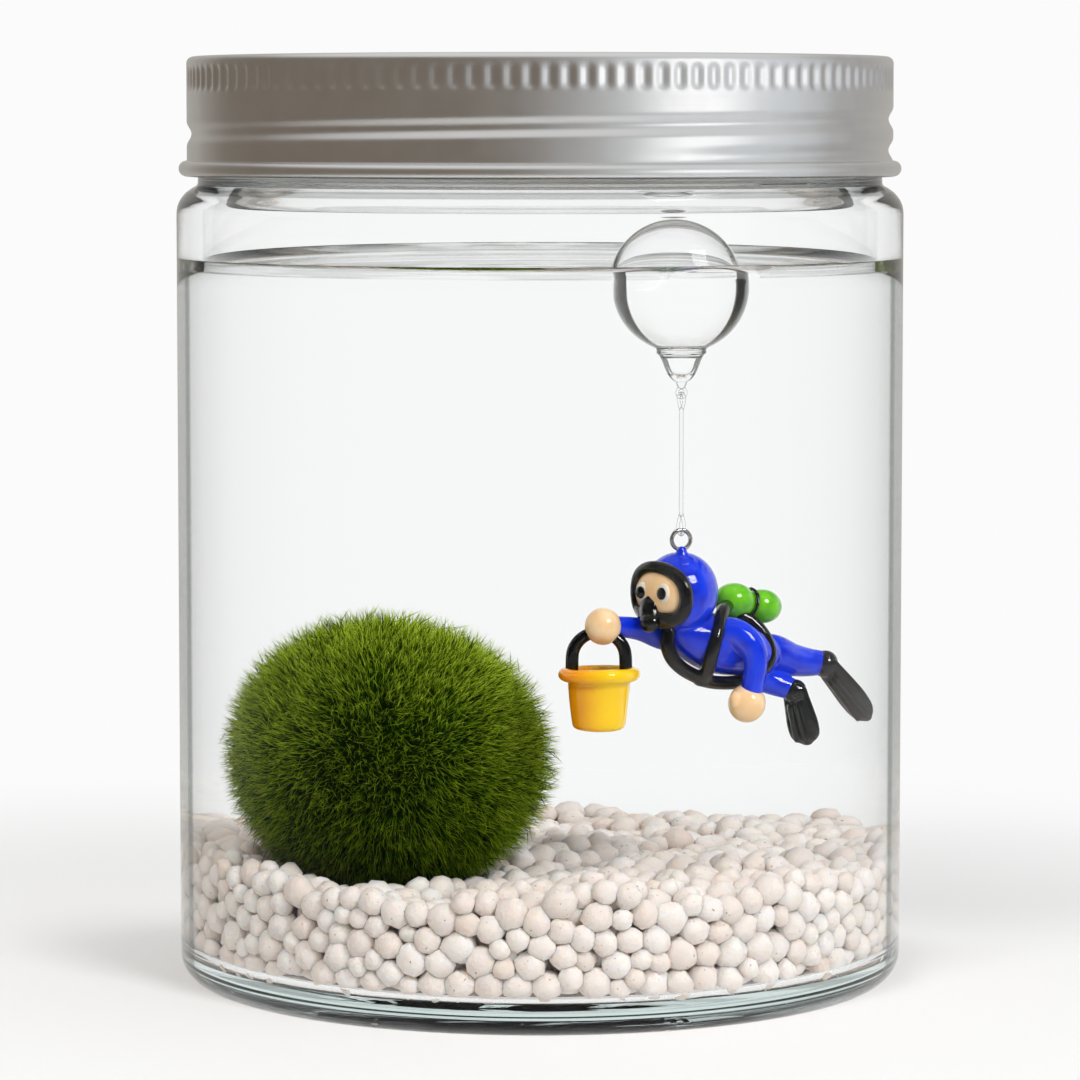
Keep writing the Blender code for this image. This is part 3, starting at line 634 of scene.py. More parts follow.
def makeJar():
    inner = jar["radius"] - jar["wall"]
    heel = jar["heel"]
    outside = [(0.0, jar["punt"]), (20.0, jar["punt"]), (33.0, jar["punt"] * 0.8), (35.6, 0.12), (36.4, 0.0)]
    outside += arc((jar["radius"] - heel, heel), heel, -90, 0, 14)
    outside += [(jar["radius"], 3.5 + 84.5 * step / 12) for step in range(1, 12)]
    outside += curveThrough([(jar["radius"], 90.3), (42.38, 91.05), (42.05, 91.8),
                             (41.4, 92.6), (40.65, 93.15), (40.1, 93.5), (jar["bead"], 94.0),
                             (jar["bead"], 94.8), (jar["bead"], 95.5), (39.6, 96.0), (jar["neck"], 96.5)], 5)
    outside += [(jar["neck"], 96.4 + 0.3 * step) for step in range(1, 31)]
    rim = (0.5 * (jar["neck"] + jar["mouth"]), jar["top"] - 1.0)
    outside += arc((jar["neck"] - 0.8, jar["top"] - 0.8), 0.8, 0, 90, 6)
    outside += arc((jar["mouth"] + 0.8, jar["top"] - 0.8), 0.8, 90, 180, 6)
    inside = [(jar["mouth"], rim[1] - 1.0 - 10.0 * step / 6) for step in range(7)]
    inside += curveThrough([(jar["mouth"], 94.0), (37.3, 93.6), (37.85, 93.15), (38.5, 92.5), (39.1, 91.7),
                            (39.42, 91.0), (inner, 90.3)], 4)
    inside += [(inner, 90.3 - 83.9 * step / 10) for step in range(1, 10)]
    corner = (inner - jar["floorCorner"], jar["floor"] + jar["floorCorner"])
    inside += arc(corner, jar["floorCorner"], 0, -90, 12)
    inside += [(20.0, jar["floor"]), (0.0, jar["floor"])]
    bm = bmesh.new()
    turnOutline(bm, outside + inside, jar["steps"], doublings=3)
    for vert in bm.verts:
        x, y, z = vert.co
        reach = hypot(x, y)
        if jar["neck"] - 0.05 < reach and z > 96.4:
            relief = threadRelief(x, y, z, -60.0, 340.0, 18.0, jar["threadHalf"], 1.8)
            grow = 1.0 + (jar["threadCrest"] - jar["neck"]) * relief / reach
            vert.co.x *= grow
            vert.co.y *= grow
    finishPiece(bm, "jarGlass", "jar", "jar", ["jar"], seesThrough=True)


makeJar()

lid = {"wall": 41.25, "top": lidHigh.z, "bottom": lidLow.z, "sheet": 0.5, "curl": lidHigh.x, "flutes": 124,
       "perFlute": 6, "bandLow": 104.15, "bandHigh": 107.5, "fluteDepth": 0.25, "groove": 0.56,
       "grooveHalf": 1.45, "corner": 0.8}


def fluteRelief(x, y, z):
    # one round-ended hollow of the grip band
    pitch = 2 * pi * lid["wall"] / lid["flutes"]
    along = (atan2(y, x) / (2 * pi) * lid["flutes"]) % 1.0 - 0.5
    half = pitch * 0.44
    low, high = lid["bandLow"] + half, lid["bandHigh"] - half
    nearest = min(max(z, low), high)
    spread = hypot(along * pitch, z - nearest) / half
    return bell(spread) ** 0.8 * (1.0 if z == nearest else 0.9)


def makeLid():
    wall, sheet = lid["wall"], lid["sheet"]
    inner = wall - sheet
    top, corner = lid["top"], lid["corner"]
    curlRadius = 0.92
    curl = (lid["curl"] - curlRadius, lid["bottom"] + curlRadius)
    outside = [(0.0, top), (14.0, top), (28.0, top), (37.0, top)]
    outside += arc((wall - corner, top - corner), corner, 90, 0, 7)
    bandRows = 15
    outside += [(wall, 107.6 - (107.6 - 104.0) * (row + 1) / bandRows) for row in range(bandRows)]
    skirtRows = 32
    skirtEnd = curl[1] + curlRadius + 0.12
    outside += [(wall, 104.0 - (104.0 - skirtEnd) * (row + 1) / skirtRows) for row in range(skirtRows)]
    outside += [(wall + 0.03, skirtEnd - 0.1)]
    outside += arc(curl, curlRadius, 88, -150, 18)
    outside += [(inner + 0.15, lid["bottom"] + 0.25), (inner, lid["bottom"] + 0.9)]
    inside = [(inner, lid["bottom"] + 0.9 + (top - sheet - corner - lid["bottom"] - 0.9) * row / 24)
              for row in range(1, 25)]
    inside += arc((inner - corner + sheet, top - corner), corner - sheet, 0, 90, 3)
    inside += [(20.0, top - sheet), (0.0, top - sheet)]
    bm = bmesh.new()
    turnOutline(bm, outside + inside, lid["flutes"] * lid["perFlute"], doublings=3)
    for vert in bm.verts:
        x, y, z = vert.co
        reach = hypot(x, y)
        if reach < inner - 0.2 or z > 107.65:
            continue
        inward = 0.0
        if z < 104.1 and z > curl[1] + 0.5 and reach < wall + 0.1:
            inward = lid["groove"] * threadRelief(x, y, z, -80.0, 540.0, 40.0, lid["grooveHalf"])
        if reach > wall - 0.2 and z > 104.0:
            inward += lid["fluteDepth"] * fluteRelief(x, y, z)
        vert.co.x *= 1.0 - inward / reach
        vert.co.y *= 1.0 - inward / reach
    finishPiece(bm, "lidShell", "lid", "lid", ["lid"], sharp=50)


def makeLiner():
    low, high = nodeBox("lid_liner")
    radius = high.x
    bm = bmesh.new()
    turnOutline(bm, [(0.0, low.z), (36.2, low.z), (36.6, low.z + 0.12), (38.6, low.z + 0.12), (39.0, low.z),
                     (radius - 0.15, low.z), (radius, low.z + 0.15), (radius, high.z - 0.15),
                     (radius - 0.15, high.z), (0.0, high.z)], 192)
    finishPiece(bm, "linerDisc", "liner", "liner", ["lid_liner"], sharp=40)


makeLid()
makeLiner()

floatLow, floatHigh = nodeBox("float_bubble")
floatBall = {"radius": 0.5 * (floatHigh.x - floatLow.x), "top": floatHigh.z, "wall": 0.26}
floatBall["middle"] = floatBall["top"] - floatBall["radius"]

def floatOutline(inset):
    # the float's bulb and neck, drawn in from the outside by an inset, from its top down
    radius, middle = floatBall["radius"], floatBall["middle"]
    bulb = arc((0.0, middle), radius, 90, -68.0, 44)
    neck = curveThrough([(2.62, 75.45), (2.66, 75.2), (2.42, 74.95), (2.16, 74.5), (1.86, 73.7), (1.52, 72.9),
                         (1.12, 72.3), (0.62, 71.95)], 3)
    outline = [(reach, height) for reach, height in bulb] + [(reach, height) for reach, height in neck]
    drawn = []
    for index, (reach, height) in enumerate(outline):
        before = outline[max(index - 1, 0)]
        after = outline[min(index + 1, len(outline) - 1)]
        along = Vector((after[0] - before[0], after[1] - before[1])).normalized()
        drawn.append((max(reach + along.y * inset, 0.0), height - along.x * inset))
    return drawn


def makeWater():
    inner = jar["radius"] - jar["wall"] + water["overlap"]
    level, rise = water["level"], water["rise"]
    pocket = [(reach, height) for reach, height in floatOutline(0.13) if height < level + 0.9 and reach > 0.4]
    rings = [(plumbX, plumbY, 0.2, 72.05)]
    rings += [(plumbX, plumbY, reach, height) for reach, height in reversed(pocket)]
    start = rings[-1][2]
    shares = [0.5 - 0.5 * cos(pi * step / 44) for step in range(1, 44)]
    for share in shares:
        x, y = plumbX * (1.0 - share), plumbY * (1.0 - share)
        rings.append((x, y, start + (inner - start) * share, level))
    rings.append((0.0, 0.0, inner, level + rise))
    rings += [(0.0, 0.0, inner, level - 2.0 - 74.0 * step / 8) for step in range(9)]
    corner = jar["floorCorner"]
    centre = (inner - water["overlap"] - corner, jar["floor"] + corner)
    rings += [(0.0, 0.0, reach, height) for reach, height in
              arc(centre, corner + water["overlap"], 0, -90, 8)]
    rings.append((0.0, 0.0, 10.0, jar["floor"] - water["overlap"]))
    bm = bmesh.new()
    ringStack(bm, rings, water["segments"])
    for vert in bm.verts:
        x, y, z = vert.co
        if abs(z - level) < 0.001:
            gap = max(inner - hypot(x, y), 0.0)
            near = max(hypot(x - plumbX, y - plumbY) - start, 0.0)
            vert.co.z += rise * exp(-gap / water["spread"])
            vert.co.z += water["floatRise"] * exp(-near / water["floatSpread"])
    finishPiece(bm, "waterBody", "water", "jar", ["water"], seesThrough=True)


makeWater()

mossMiddle = 0.5 * (mossLow + mossHigh)
mossRadii = 0.5 * (mossHigh - mossLow)
bedLow, bedHigh = nodeBox("gravel_bed")

pellets = {"count": 3900, "small": 1.12, "large": 1.86, "rounds": 70, "seed": 11, "top": 16.2, "press": 0.55,
           "uneven": 0.8, "dip": 2.0, "farShrink": 0.24}


def bedTop(x, y):
    waves = 0.9 * np.sin(0.21 * x + 0.6) * np.cos(0.17 * y - 0.4) + 0.5 * np.sin(0.43 * x - 0.31 * y)
    hollow = np.exp(-((x - mossMiddle.x) / 13.0) ** 2 - ((y + 31.0) / 9.0) ** 2)   # the moss ball sinks in
    return pellets["top"] - 0.02 * x + waves - pellets["dip"] * hollow


def packPellets(generator):
    # settles a crowd of balls in the jar around the moss ball
    count = pellets["count"]
    wall, floorHeight = bedHigh.x, bedLow.z
    angle = generator.uniform(0, 2 * pi, 3 * count)
    reach = wall * np.sqrt(generator.uniform(0, 1, 3 * count))
    finer = 1.0 - pellets["farShrink"] * (0.5 + 0.5 * reach * np.sin(angle) / wall)   # to the back
    chosen = generator.choice(3 * count, count, replace=False, p=finer ** -3 / (finer ** -3).sum())
    angle, reach = angle[chosen], reach[chosen]
    radii = generator.uniform(pellets["small"], pellets["large"], count) * finer[chosen]
    radii = radii.astype(np.float32)
    heights = generator.uniform(floorHeight + 1.5, pellets["top"] - 1.0, count)
    points = np.stack([reach * np.cos(angle), reach * np.sin(angle), heights], 1).astype(np.float32)
    centre = np.array(mossMiddle, dtype=np.float32)
    proud = generator.uniform(-pellets["uneven"], pellets["uneven"], count)
    touching = radii[:, None] + radii[None, :]
    for step in range(pellets["rounds"]):
        squares = (points ** 2).sum(1)
        apart = np.sqrt(np.maximum(squares[:, None] + squares[None, :] - 2 * points @ points.T, 1e-6))
        overlap = np.maximum(touching - apart, 0.0)
        np.fill_diagonal(overlap, 0.0)
        weight = pellets["press"] * overlap / apart
        points += 0.5 * (points * weight.sum(1)[:, None] - weight @ points)
        fromMoss = points - centre
        kept = np.array(mossRadii, dtype=np.float32)[None, :] - 0.5 + radii[:, None]
        far = np.sqrt(((fromMoss / kept) ** 2).sum(1))
        points += fromMoss * np.maximum(1.0 / far - 1.0, 0.0)[:, None]
        ceiling = bedTop(points[:, 0], points[:, 1]) - radii + proud
        points[:, 2] = np.minimum(points[:, 2], ceiling)
        points[:, 2] = np.maximum(points[:, 2], floorHeight + radii)
        reach = np.hypot(points[:, 0], points[:, 1])
        most = wall - radii
        low = np.maximum(0.0, 6.4 - points[:, 2])
        most -= 0.35 * low
        points[:, :2] *= np.minimum(1.0, most / reach)[:, None]
    return points, radii


def scatter(template, places, name):
    # copies a small mesh to many places; each place is a 3x3 matrix and a position
    corners = np.empty(len(template.vertices) * 3, dtype=np.float32)
    template.vertices.foreach_get("co", corners)
    corners = corners.reshape(-1, 3)
    faces = np.array([list(face.vertices) for face in template.polygons], dtype=np.int32)
    count = len(places)
    turns = np.stack([turn for turn, place in places])
    shifts = np.stack([place for turn, place in places])
    points = np.einsum("nij,vj->nvi", turns, corners) + shifts[:, None, :]
    offsets = (np.arange(count) * len(corners))[:, None, None]
    loops = (faces[None, :, :] + offsets).reshape(-1)
    mesh = bpy.data.meshes.new(name)
    mesh.vertices.add(count * len(corners))
    mesh.vertices.foreach_set("co", (points * millimetre).reshape(-1))
    mesh.loops.add(len(loops))
    mesh.loops.foreach_set("vertex_index", loops)
    mesh.polygons.add(count * len(faces))
    mesh.polygons.foreach_set("loop_start", np.arange(0, len(loops), faces.shape[1]))
    mesh.update(calc_edges=True)
    mesh.polygons.foreach_set("use_smooth", np.ones(len(mesh.polygons), dtype=bool))
    return mesh, len(corners)


def tag(mesh, name, values):
    layer = mesh.attributes.new(name, "FLOAT", "POINT")
    layer.data.foreach_set("value", np.asarray(values, dtype=np.float32))


def pelletShape(seed):
    # a hand-rolled lump: a ball with a few dents
    bm = bmesh.new()
    bmesh.ops.create_icosphere(bm, subdivisions=2, radius=1.0)
    for vert in bm.verts:
        dent = noise.noise(vert.co * 1.1 + Vector((seed * 7.3, 0.0, 0.0)))
        fine = noise.noise(vert.co * 2.6 + Vector((0.0, seed * 5.1, 0.0)))
        vert.co *= 1.0 + 0.20 * dent + 0.10 * fine
    mesh = bpy.data.meshes.new("pellet")
    bm.to_mesh(mesh)
    bm.free()
    return mesh


def randomTurn(generator):
    quaternion = generator.normal(size=4)
    quaternion /= np.linalg.norm(quaternion)
    w, x, y, z = quaternion
    return np.array([[1 - 2 * (y * y + z * z), 2 * (x * y - z * w), 2 * (x * z + y * w)],
                     [2 * (x * y + z * w), 1 - 2 * (x * x + z * z), 2 * (y * z - x * w)],
                     [2 * (x * z - y * w), 2 * (y * z + x * w), 1 - 2 * (x * x + y * y)]])


def makePellets():
    generator = np.random.default_rng(pellets["seed"])
    points, radii = packPellets(generator)
    groups = 4
    for group in range(groups):
        chosen = range(group, len(points), groups)
        places = [(randomTurn(generator) * radii[index] * 1.13, points[index]) for index in chosen]
        template = pelletShape(group + 1)
        mesh, each = scatter(template, places, "pellets")
        shades = np.repeat(generator.beta(2.2, 1.3, len(places)), each)
        tag(mesh, "shade", shades)
        bpy.data.meshes.remove(template)
        placePiece(mesh, "pellets_" + "abcd"[group], "pellets", "jar", ["gravel_bed"])


makePellets()
print("pellets settled")

moss = {"core": 0.80, "fibres": 35600, "pieces": 2, "long": 4.2, "short": 1.8, "thick": 0.047, "lean": 0.20,
        "stray": 0.16, "wild": 0.6, "seed": 5}


def fibreShape():
    # one bent, tapering fibre of unit length standing on its root
    bm = bmesh.new()
    bmesh.ops.create_circle(bm, cap_ends=True, radius=1.0, segments=3)
    foot = [face for face in bm.faces]
    middle = bmesh.ops.extrude_face_region(bm, geom=foot)["geom"]
    raised = [item for item in middle if isinstance(item, bmesh.types.BMVert)]
    bmesh.ops.translate(bm, vec=(0.35, 0.0, 0.55), verts=raised)
    bmesh.ops.scale(bm, vec=(0.75, 0.75, 1.0), verts=raised, space=Matrix.Translation((-0.35, 0.0, 0.0)))
    cap = [item for item in middle if isinstance(item, bmesh.types.BMFace)]
    tip = bmesh.ops.poke(bm, faces=cap)["verts"]
    bmesh.ops.translate(bm, vec=(0.95, 0.0, 0.45), verts=tip)
    bmesh.ops.triangulate(bm, faces=bm.faces)
    bmesh.ops.recalc_face_normals(bm, faces=bm.faces)
    mesh = bpy.data.meshes.new("fibre")
    bm.to_mesh(mesh)
    bm.free()
    return mesh


def clumpField(directions):
    # slow waves over the ball that comb neighbouring fibres the same way
    fields = []
    for row, shift in enumerate((0.0, 2.1, 4.4)):
        u = np.sin(directions @ np.array([7.1, 3.3, -5.2]) + shift)
        u = u + np.sin(directions @ np.array([-4.9, 8.3, 3.1]) + 1.7 * shift)
        v = np.sin(directions @ np.array([13.7, -9.1, 11.3]) + 0.6 * shift + row)
        fields.append(0.5 * u + 0.5 * v)
    return np.stack(fields, 1)


def makeMoss():
    generator = np.random.default_rng(moss["seed"])
    middle = np.array(mossMiddle)
    core = bmesh.new()
    bmesh.ops.create_icosphere(core, subdivisions=5, radius=1.0)
    for vert in core.verts:
        lump = noise.noise(vert.co * 4.0) * 0.03 + noise.noise(vert.co * 11.0) * 0.02
        vert.co = vert.co * mossRadii * (moss["core"] + lump)
    bmesh.ops.translate(core, vec=mossMiddle, verts=core.verts)
    coreMesh = bpy.data.meshes.new("core")
    core.to_mesh(coreMesh)
    core.free()
    share = moss["fibres"] // moss["pieces"]
    template = fibreShape()
    heights = np.array([vert.co.z for vert in template.vertices])
    for part in range(moss["pieces"]):
        index = np.arange(part, share * moss["pieces"], moss["pieces"]) + 0.5
        up = 1.0 - 2.0 * index / (share * moss["pieces"])
        turn = index * pi * (3.0 - sqrt(5.0))
        flat = np.sqrt(1.0 - up ** 2)
        out = np.stack([flat * np.cos(turn), flat * np.sin(turn), up], 1)
        out += generator.normal(0.0, 0.006, out.shape)
        out /= np.linalg.norm(out, axis=1)[:, None]
        loose = moss["stray"] + moss["wild"] * generator.random(share) ** 3
        comb = clumpField(out) * moss["lean"] + generator.normal(0.0, 1.0, out.shape) * loose[:, None]
        comb -= (comb * out).sum(1)[:, None] * out
        axis = out + comb
        axis /= np.linalg.norm(axis, axis=1)[:, None]
        side = np.cross(axis, generator.normal(size=out.shape))
        side /= np.linalg.norm(side, axis=1)[:, None]
        front = np.cross(axis, side)
        length = generator.uniform(moss["short"], moss["long"], share)
        thick = moss["thick"] * generator.uniform(0.7, 1.25, share)
        surfaceAt = np.linalg.norm(out * np.array(mossRadii), axis=1)
        tipReach = surfaceAt * (0.92 + 0.10 * generator.random(share) ** 2.4)
        outward = out * np.array(mossRadii)
        outward /= np.linalg.norm(outward, axis=1)[:, None]
        root = tipReach - length * (axis * outward).sum(1)
        matrices = np.stack([side * thick[:, None], front * thick[:, None], axis * length[:, None]], 2)
        places = [(matrices[n], middle + outward[n] * root[n]) for n in range(share)]
        mesh = scatter(template, places, "moss")[0]
        tone = generator.normal(0.0, 0.15, share)
        grown = (heights[None, :] * (0.86 + tone[:, None])).reshape(-1)
        if part == 0:
            mesh, grown = addCore(mesh, coreMesh, grown)
        tag(mesh, "grown", grown)
        placePiece(mesh, "moss_" + "ab"[part], "moss", "jar", ["moss_ball"])
    bpy.data.meshes.remove(template)
    bpy.data.meshes.remove(coreMesh)


def addCore(mesh, coreMesh, grown):
    # joins the core, near black as painted shade deep among the fibres, to the first half of the fibres
    bm = bmesh.new()
    bm.from_mesh(mesh)
    known = len(bm.verts)
    solid = bmesh.new()
    solid.from_mesh(coreMesh)
    bmesh.ops.scale(solid, vec=(millimetre,) * 3, verts=solid.verts)
    shifted = bpy.data.meshes.new("shifted")
    solid.to_mesh(shifted)
    solid.free()
    bm.from_mesh(shifted)
    joined = bpy.data.meshes.new("moss")
    for face in bm.faces:
        face.smooth = True
    bm.to_mesh(joined)
    extra = len(bm.verts) - known
    bm.free()
    bpy.data.meshes.remove(shifted)
    bpy.data.meshes.remove(mesh)
    return joined, np.concatenate([grown, np.full(extra, 0.12)])


makeMoss()
print("moss grown")

link = {"wire": 0.24, "loopWire": 0.2, "upper": (68.8, 70.7, 0.55), "lower": (57.2, 54.86, 0.6),
        "turn": -55.0}
ring = {"radius": 1.08, "wire": 0.24, "turn": 25.0}


def upright(across, height, turn):
    return Vector((plumbX + across * cos(radians(turn)), plumbY + across * sin(radians(turn)), height))


def makeFloat():
    bm = bmesh.new()
    shell = floatOutline(0.0)
    turnOutline(bm, shell + [(0.0, 71.9)], 96, (plumbX, plumbY))
    inner = bmesh.new()
    hollow = arc((0.0, floatBall["middle"]), floatBall["radius"] - floatBall["wall"], 90, -90, 60)
    turnOutline(inner, hollow, 96, (plumbX, plumbY))
    funnel = curveThrough([(1.95, 74.85), (1.72, 74.3), (1.42, 73.5), (1.1, 72.95), (0.6, 72.6)], 3)
    turnOutline(inner, [(0.0, 74.88), (1.6, 74.88)] + funnel + [(0.0, 72.55)], 96, (plumbX, plumbY))
    bmesh.ops.recalc_face_normals(inner, faces=inner.faces)
    bmesh.ops.reverse_faces(inner, faces=inner.faces)
    hollow = bpy.data.meshes.new("hollow")
    inner.to_mesh(hollow)
    inner.free()
    bmesh.ops.recalc_face_normals(bm, faces=bm.faces)
    bm.from_mesh(hollow)
    bpy.data.meshes.remove(hollow)
    bmesh.ops.scale(bm, vec=(millimetre,) * 3, verts=bm.verts)
    for face in bm.faces:
        face.smooth = True
    mesh = bpy.data.meshes.new("floatBulb")
    bm.to_mesh(mesh)
    bm.free()
    placePiece(mesh, "floatBulb", "float", "jar", ["float_bubble"], seesThrough=True)


def makeFloatEye():
    bm = bmesh.new()
    stem = curveThrough([(0.6, 71.9), (0.5, 71.6), (0.35, 71.3)], 3)
    turnOutline(bm, [(0.0, 72.0), (0.5, 72.0)] + stem + [(0.0, 71.2)], 48, (plumbX, plumbY))
    eye = [upright(0.55 * cos(2 * pi * step / 24), 70.75 + 0.55 * sin(2 * pi * step / 24), 35.0)
           for step in range(24)]
    hoop(bm, eye, 0.2, 12)
    fuse(bm, 0.1, 4)
    finishPiece(bm, "floatStem", "link", "jar", ["float_bubble"], seesThrough=True)


def loopPath(near, far, half):
    # a teardrop of wire from the rod's end, round and back
    reach = far - near
    shares = [(0.0, -0.12), (0.35, 0.1), (0.85, 0.42), (1.0, 0.68), (0.62, 0.93)]
    points = [(half * across, near + reach * along) for across, along in shares] + [(0.0, far)]
    points += [(-across, height) for across, height in reversed(points[1:-1])]
    return points


def makeLink():
    bm = bmesh.new()
    low, high = link["lower"][0], link["upper"][0]
    rod = [(plumbX, plumbY, low + (high - low) * step / 6, link["wire"]) for step in range(7)]
    limb(bm, rod, 2, 14)
    for near, far, half in (link["upper"], link["lower"]):
        path = curveThrough([(across, height) for across, height in loopPath(near, far, half)]
                            + [loopPath(near, far, half)[0]], 4)[:-1]
        hoop(bm, [upright(across, height, link["turn"]) for across, height in path], link["loopWire"], 12)
    fuse(bm, 0.1, 4)
    finishPiece(bm, "linkRod", "link", "jar", ["link_rod"], seesThrough=True)


def makeRing():
    bm = bmesh.new()
    middle = 0.5 * (lineLow.z + lineHigh.z)
    turns = [2 * pi * step / 48 for step in range(48)]
    points = [upright(ring["radius"] * cos(turn), middle + ring["radius"] * sin(turn), ring["turn"])
              for turn in turns]
    hoop(bm, points, ring["wire"], 16)
    finishPiece(bm, "hangRing", "ring", "jar", ["hang_ring"])


makeFloat()
makeFloatEye()
makeLink()
makeRing()

face = {"yaw": 40.0, "head": (14.6, -26.0, 48.4), "headRadii": (3.95, 3.95, 4.35), "plane": 3.2}
faceAcross = Vector((cos(radians(face["yaw"])), -sin(radians(face["yaw"])), 0.0))
faceOut = Vector((-sin(radians(face["yaw"])), -cos(radians(face["yaw"])), 0.0))
faceTurn = Matrix((faceAcross, faceOut, Vector((0.0, 0.0, 1.0)))).transposed()
if faceTurn.determinant() < 0.0:
    faceTurn = Matrix((-faceAcross, faceOut, Vector((0.0, 0.0, 1.0)))).transposed()


def onFace(across, out, up):
    onPlane = Vector(face["head"]) + faceAcross * across + faceOut * (face["plane"] + out)
    return onPlane + Vector((0.0, 0.0, up))


suit = {
    "collar": [(14.8, -26.9, 52.2, 0.9), (14.8, -27.0, 52.9, 0.55)],
    "trunk": [(14.6, -25.9, 45.2, 1.5), (15.2, -25.5, 44.0, 2.4), (17.8, -23.2, 42.7, 3.2),
              (20.6, -20.4, 41.6, 2.9), (23.0, -18.3, 40.7, 2.1), (24.0, -17.4, 40.3, 1.0)],
    "rightArm": [(16.2, -24.6, 43.0, 1.8), (13.0, -25.6, 43.6, 1.5), (10.6, -26.8, 44.5, 1.25),
                 (8.0, -28.4, 45.0, 1.1)],
    "leftArm": [(17.4, -24.0, 44.0, 1.2), (18.6, -24.6, 44.1, 1.5), (20.2, -24.8, 43.9, 1.55),
                (21.4, -24.9, 43.1, 1.5), (22.3, -24.9, 41.7, 1.4), (22.4, -24.9, 39.8, 1.25),
                (22.0, -24.8, 37.6, 1.2)],
    "leftLeg": [(21.4, -19.4, 41.2, 1.7), (23.4, -17.6, 41.1, 2.0), (25.3, -15.8, 40.1, 1.85),
                (27.0, -14.4, 39.6, 1.6), (28.6, -13.5, 39.4, 1.35)],
    "rightLeg": [(21.0, -18.6, 39.6, 1.7), (23.0, -17.4, 38.1, 1.5), (25.6, -16.9, 36.9, 1.2)],
}


def makeSuit():
    bm = bmesh.new()
    blob(bm, face["head"], face["headRadii"], None, 64, 48)
    for path in suit.values():
        limb(bm, path, 8, 32)
    fuse(bm, 0.14, 7)
    finishPiece(bm, "blueSuit", "suit", "jar", ["diver_suit"])


def maskPoint(angle):
    across = 3.45 * cos(angle)
    up = 2.95 * sin(angle) * (1.0 - 0.03 * cos(angle))
    square = 1.0 + 0.045 * sin(2 * angle) ** 2         # fuller corners than an oval
    across, up = across * square, up * square
    return onFace(across, -0.03 * across * across, up - 0.1 - 0.08 * across)


def makeMask():
    bm = bmesh.new()
    count = 64
    angles = [2 * pi * step / count for step in range(count)]
    radii = [0.66 + 0.10 * max(cos(angle), 0.0) - 0.10 * max(-cos(angle), 0.0) + 0.04 * sin(angle) ** 2
             for angle in angles]
    hoop(bm, [maskPoint(angle) for angle in angles], radii, 20)
    blob(bm, onFace(-0.75, 0.6, -1.5), (1.15, 0.8, 1.25), faceTurn)
    limb(bm, [(*onFace(-0.7, 0.75, -0.55), 0.42), (*onFace(-0.75, 0.7, -1.3), 0.85),
              (*onFace(-0.55, 0.6, -2.3), 1.15)], 6, 20)
    limb(bm, [(*onFace(-2.6, 0.0, -1.75), 0.55), (*onFace(-1.2, 0.45, -2.35), 0.75),
              (*onFace(0.6, 0.35, -2.6), 0.75), (*onFace(2.0, 0.0, -2.45), 0.6)], 6, 20)
    fuse(bm, 0.12, 6)
    finishPiece(bm, "blackMask", "black", "jar", ["diver_mask"])


def makeFace():
    bm = bmesh.new()
    blob(bm, onFace(-0.1, -0.4, 0.0), (3.2, 1.3, 2.75), faceTurn, 48, 32)
    finishPiece(bm, "facePane", "skin", "jar", ["diver_face"])
    for side, across in (("left", 1.15), ("right", -1.7)):
        bm = bmesh.new()
        blob(bm, onFace(across, 0.60, 0.15), (0.85, 0.30, 1.10), faceTurn)
        finishPiece(bm, "eyeWhite_" + side, "white", "jar", ["eye_white_" + side])
        bm = bmesh.new()
        blob(bm, onFace(across - 0.05, 0.86, 0.15), (0.60, 0.26, 0.66), faceTurn)
        finishPiece(bm, "pupil_" + side, "black", "jar", ["pupil_" + side])


def makeRegulator():
    bm = bmesh.new()
    blob(bm, onFace(-0.1, 1.3, -3.0), (1.12, 0.95, 1.05), faceTurn)
    limb(bm, [(*onFace(-0.3, 0.9, -2.3), 0.7), (*onFace(-0.15, 1.2, -2.9), 0.9)], 4, 20)
    fuse(bm, 0.12, 4)
    finishPiece(bm, "regulator", "black", "jar", ["diver_regulator"])


def makeHands():
    bm = bmesh.new()
    blob(bm, (6.9, -29.0, 45.0), (1.85, 1.85, 2.0), None, 40, 28)
    finishPiece(bm, "hand_right", "skin", "jar", ["hand_right"])
    bm = bmesh.new()
    blob(bm, (21.5, -24.6, 36.2), (2.0, 1.95, 2.1), None, 48, 32)
    blob(bm, (20.35, -26.0, 36.75), (0.62, 0.62, 0.95), None, 20, 14)   # the thumb
    fuse(bm, 0.11, 5)
    finishPiece(bm, "hand_left", "skin", "jar", ["hand_left"])


tank = {"axis": (5.7, 4.9, -1.8), "front": (19.9, -19.9, 46.9), "rear": (22.6, -17.6, 46.1),
        "frontRadii": (2.25, 1.95, 1.95), "rearRadii": (2.15, 1.85, 1.85)}


def makeTank():
    axis = Vector(tank["axis"]).normalized()
    side = axis.cross(Vector((0.0, 0.0, 1.0))).normalized()
    turn = Matrix((axis, side, axis.cross(side))).transposed()
    for end in ("front", "rear"):
        bm = bmesh.new()
        blob(bm, tank[end], tank[end + "Radii"], turn, 40, 28)
        finishPiece(bm, "tank_" + end, "green", "jar", ["tank_" + end])
    bm = bmesh.new()
    middle = 0.5 * (Vector(tank["front"]) + Vector(tank["rear"]))
    points = [middle + turn @ Vector((0.0, 1.62 * cos(2 * pi * step / 40), 1.62 * sin(2 * pi * step / 40)))
              for step in range(40)]
    radii = [0.17 + 0.05 * (step % 5 == 0) for step in range(40)]
    hoop(bm, points, radii, 10)
    finishPiece(bm, "tankBand", "black", "jar", ["tank_band"])


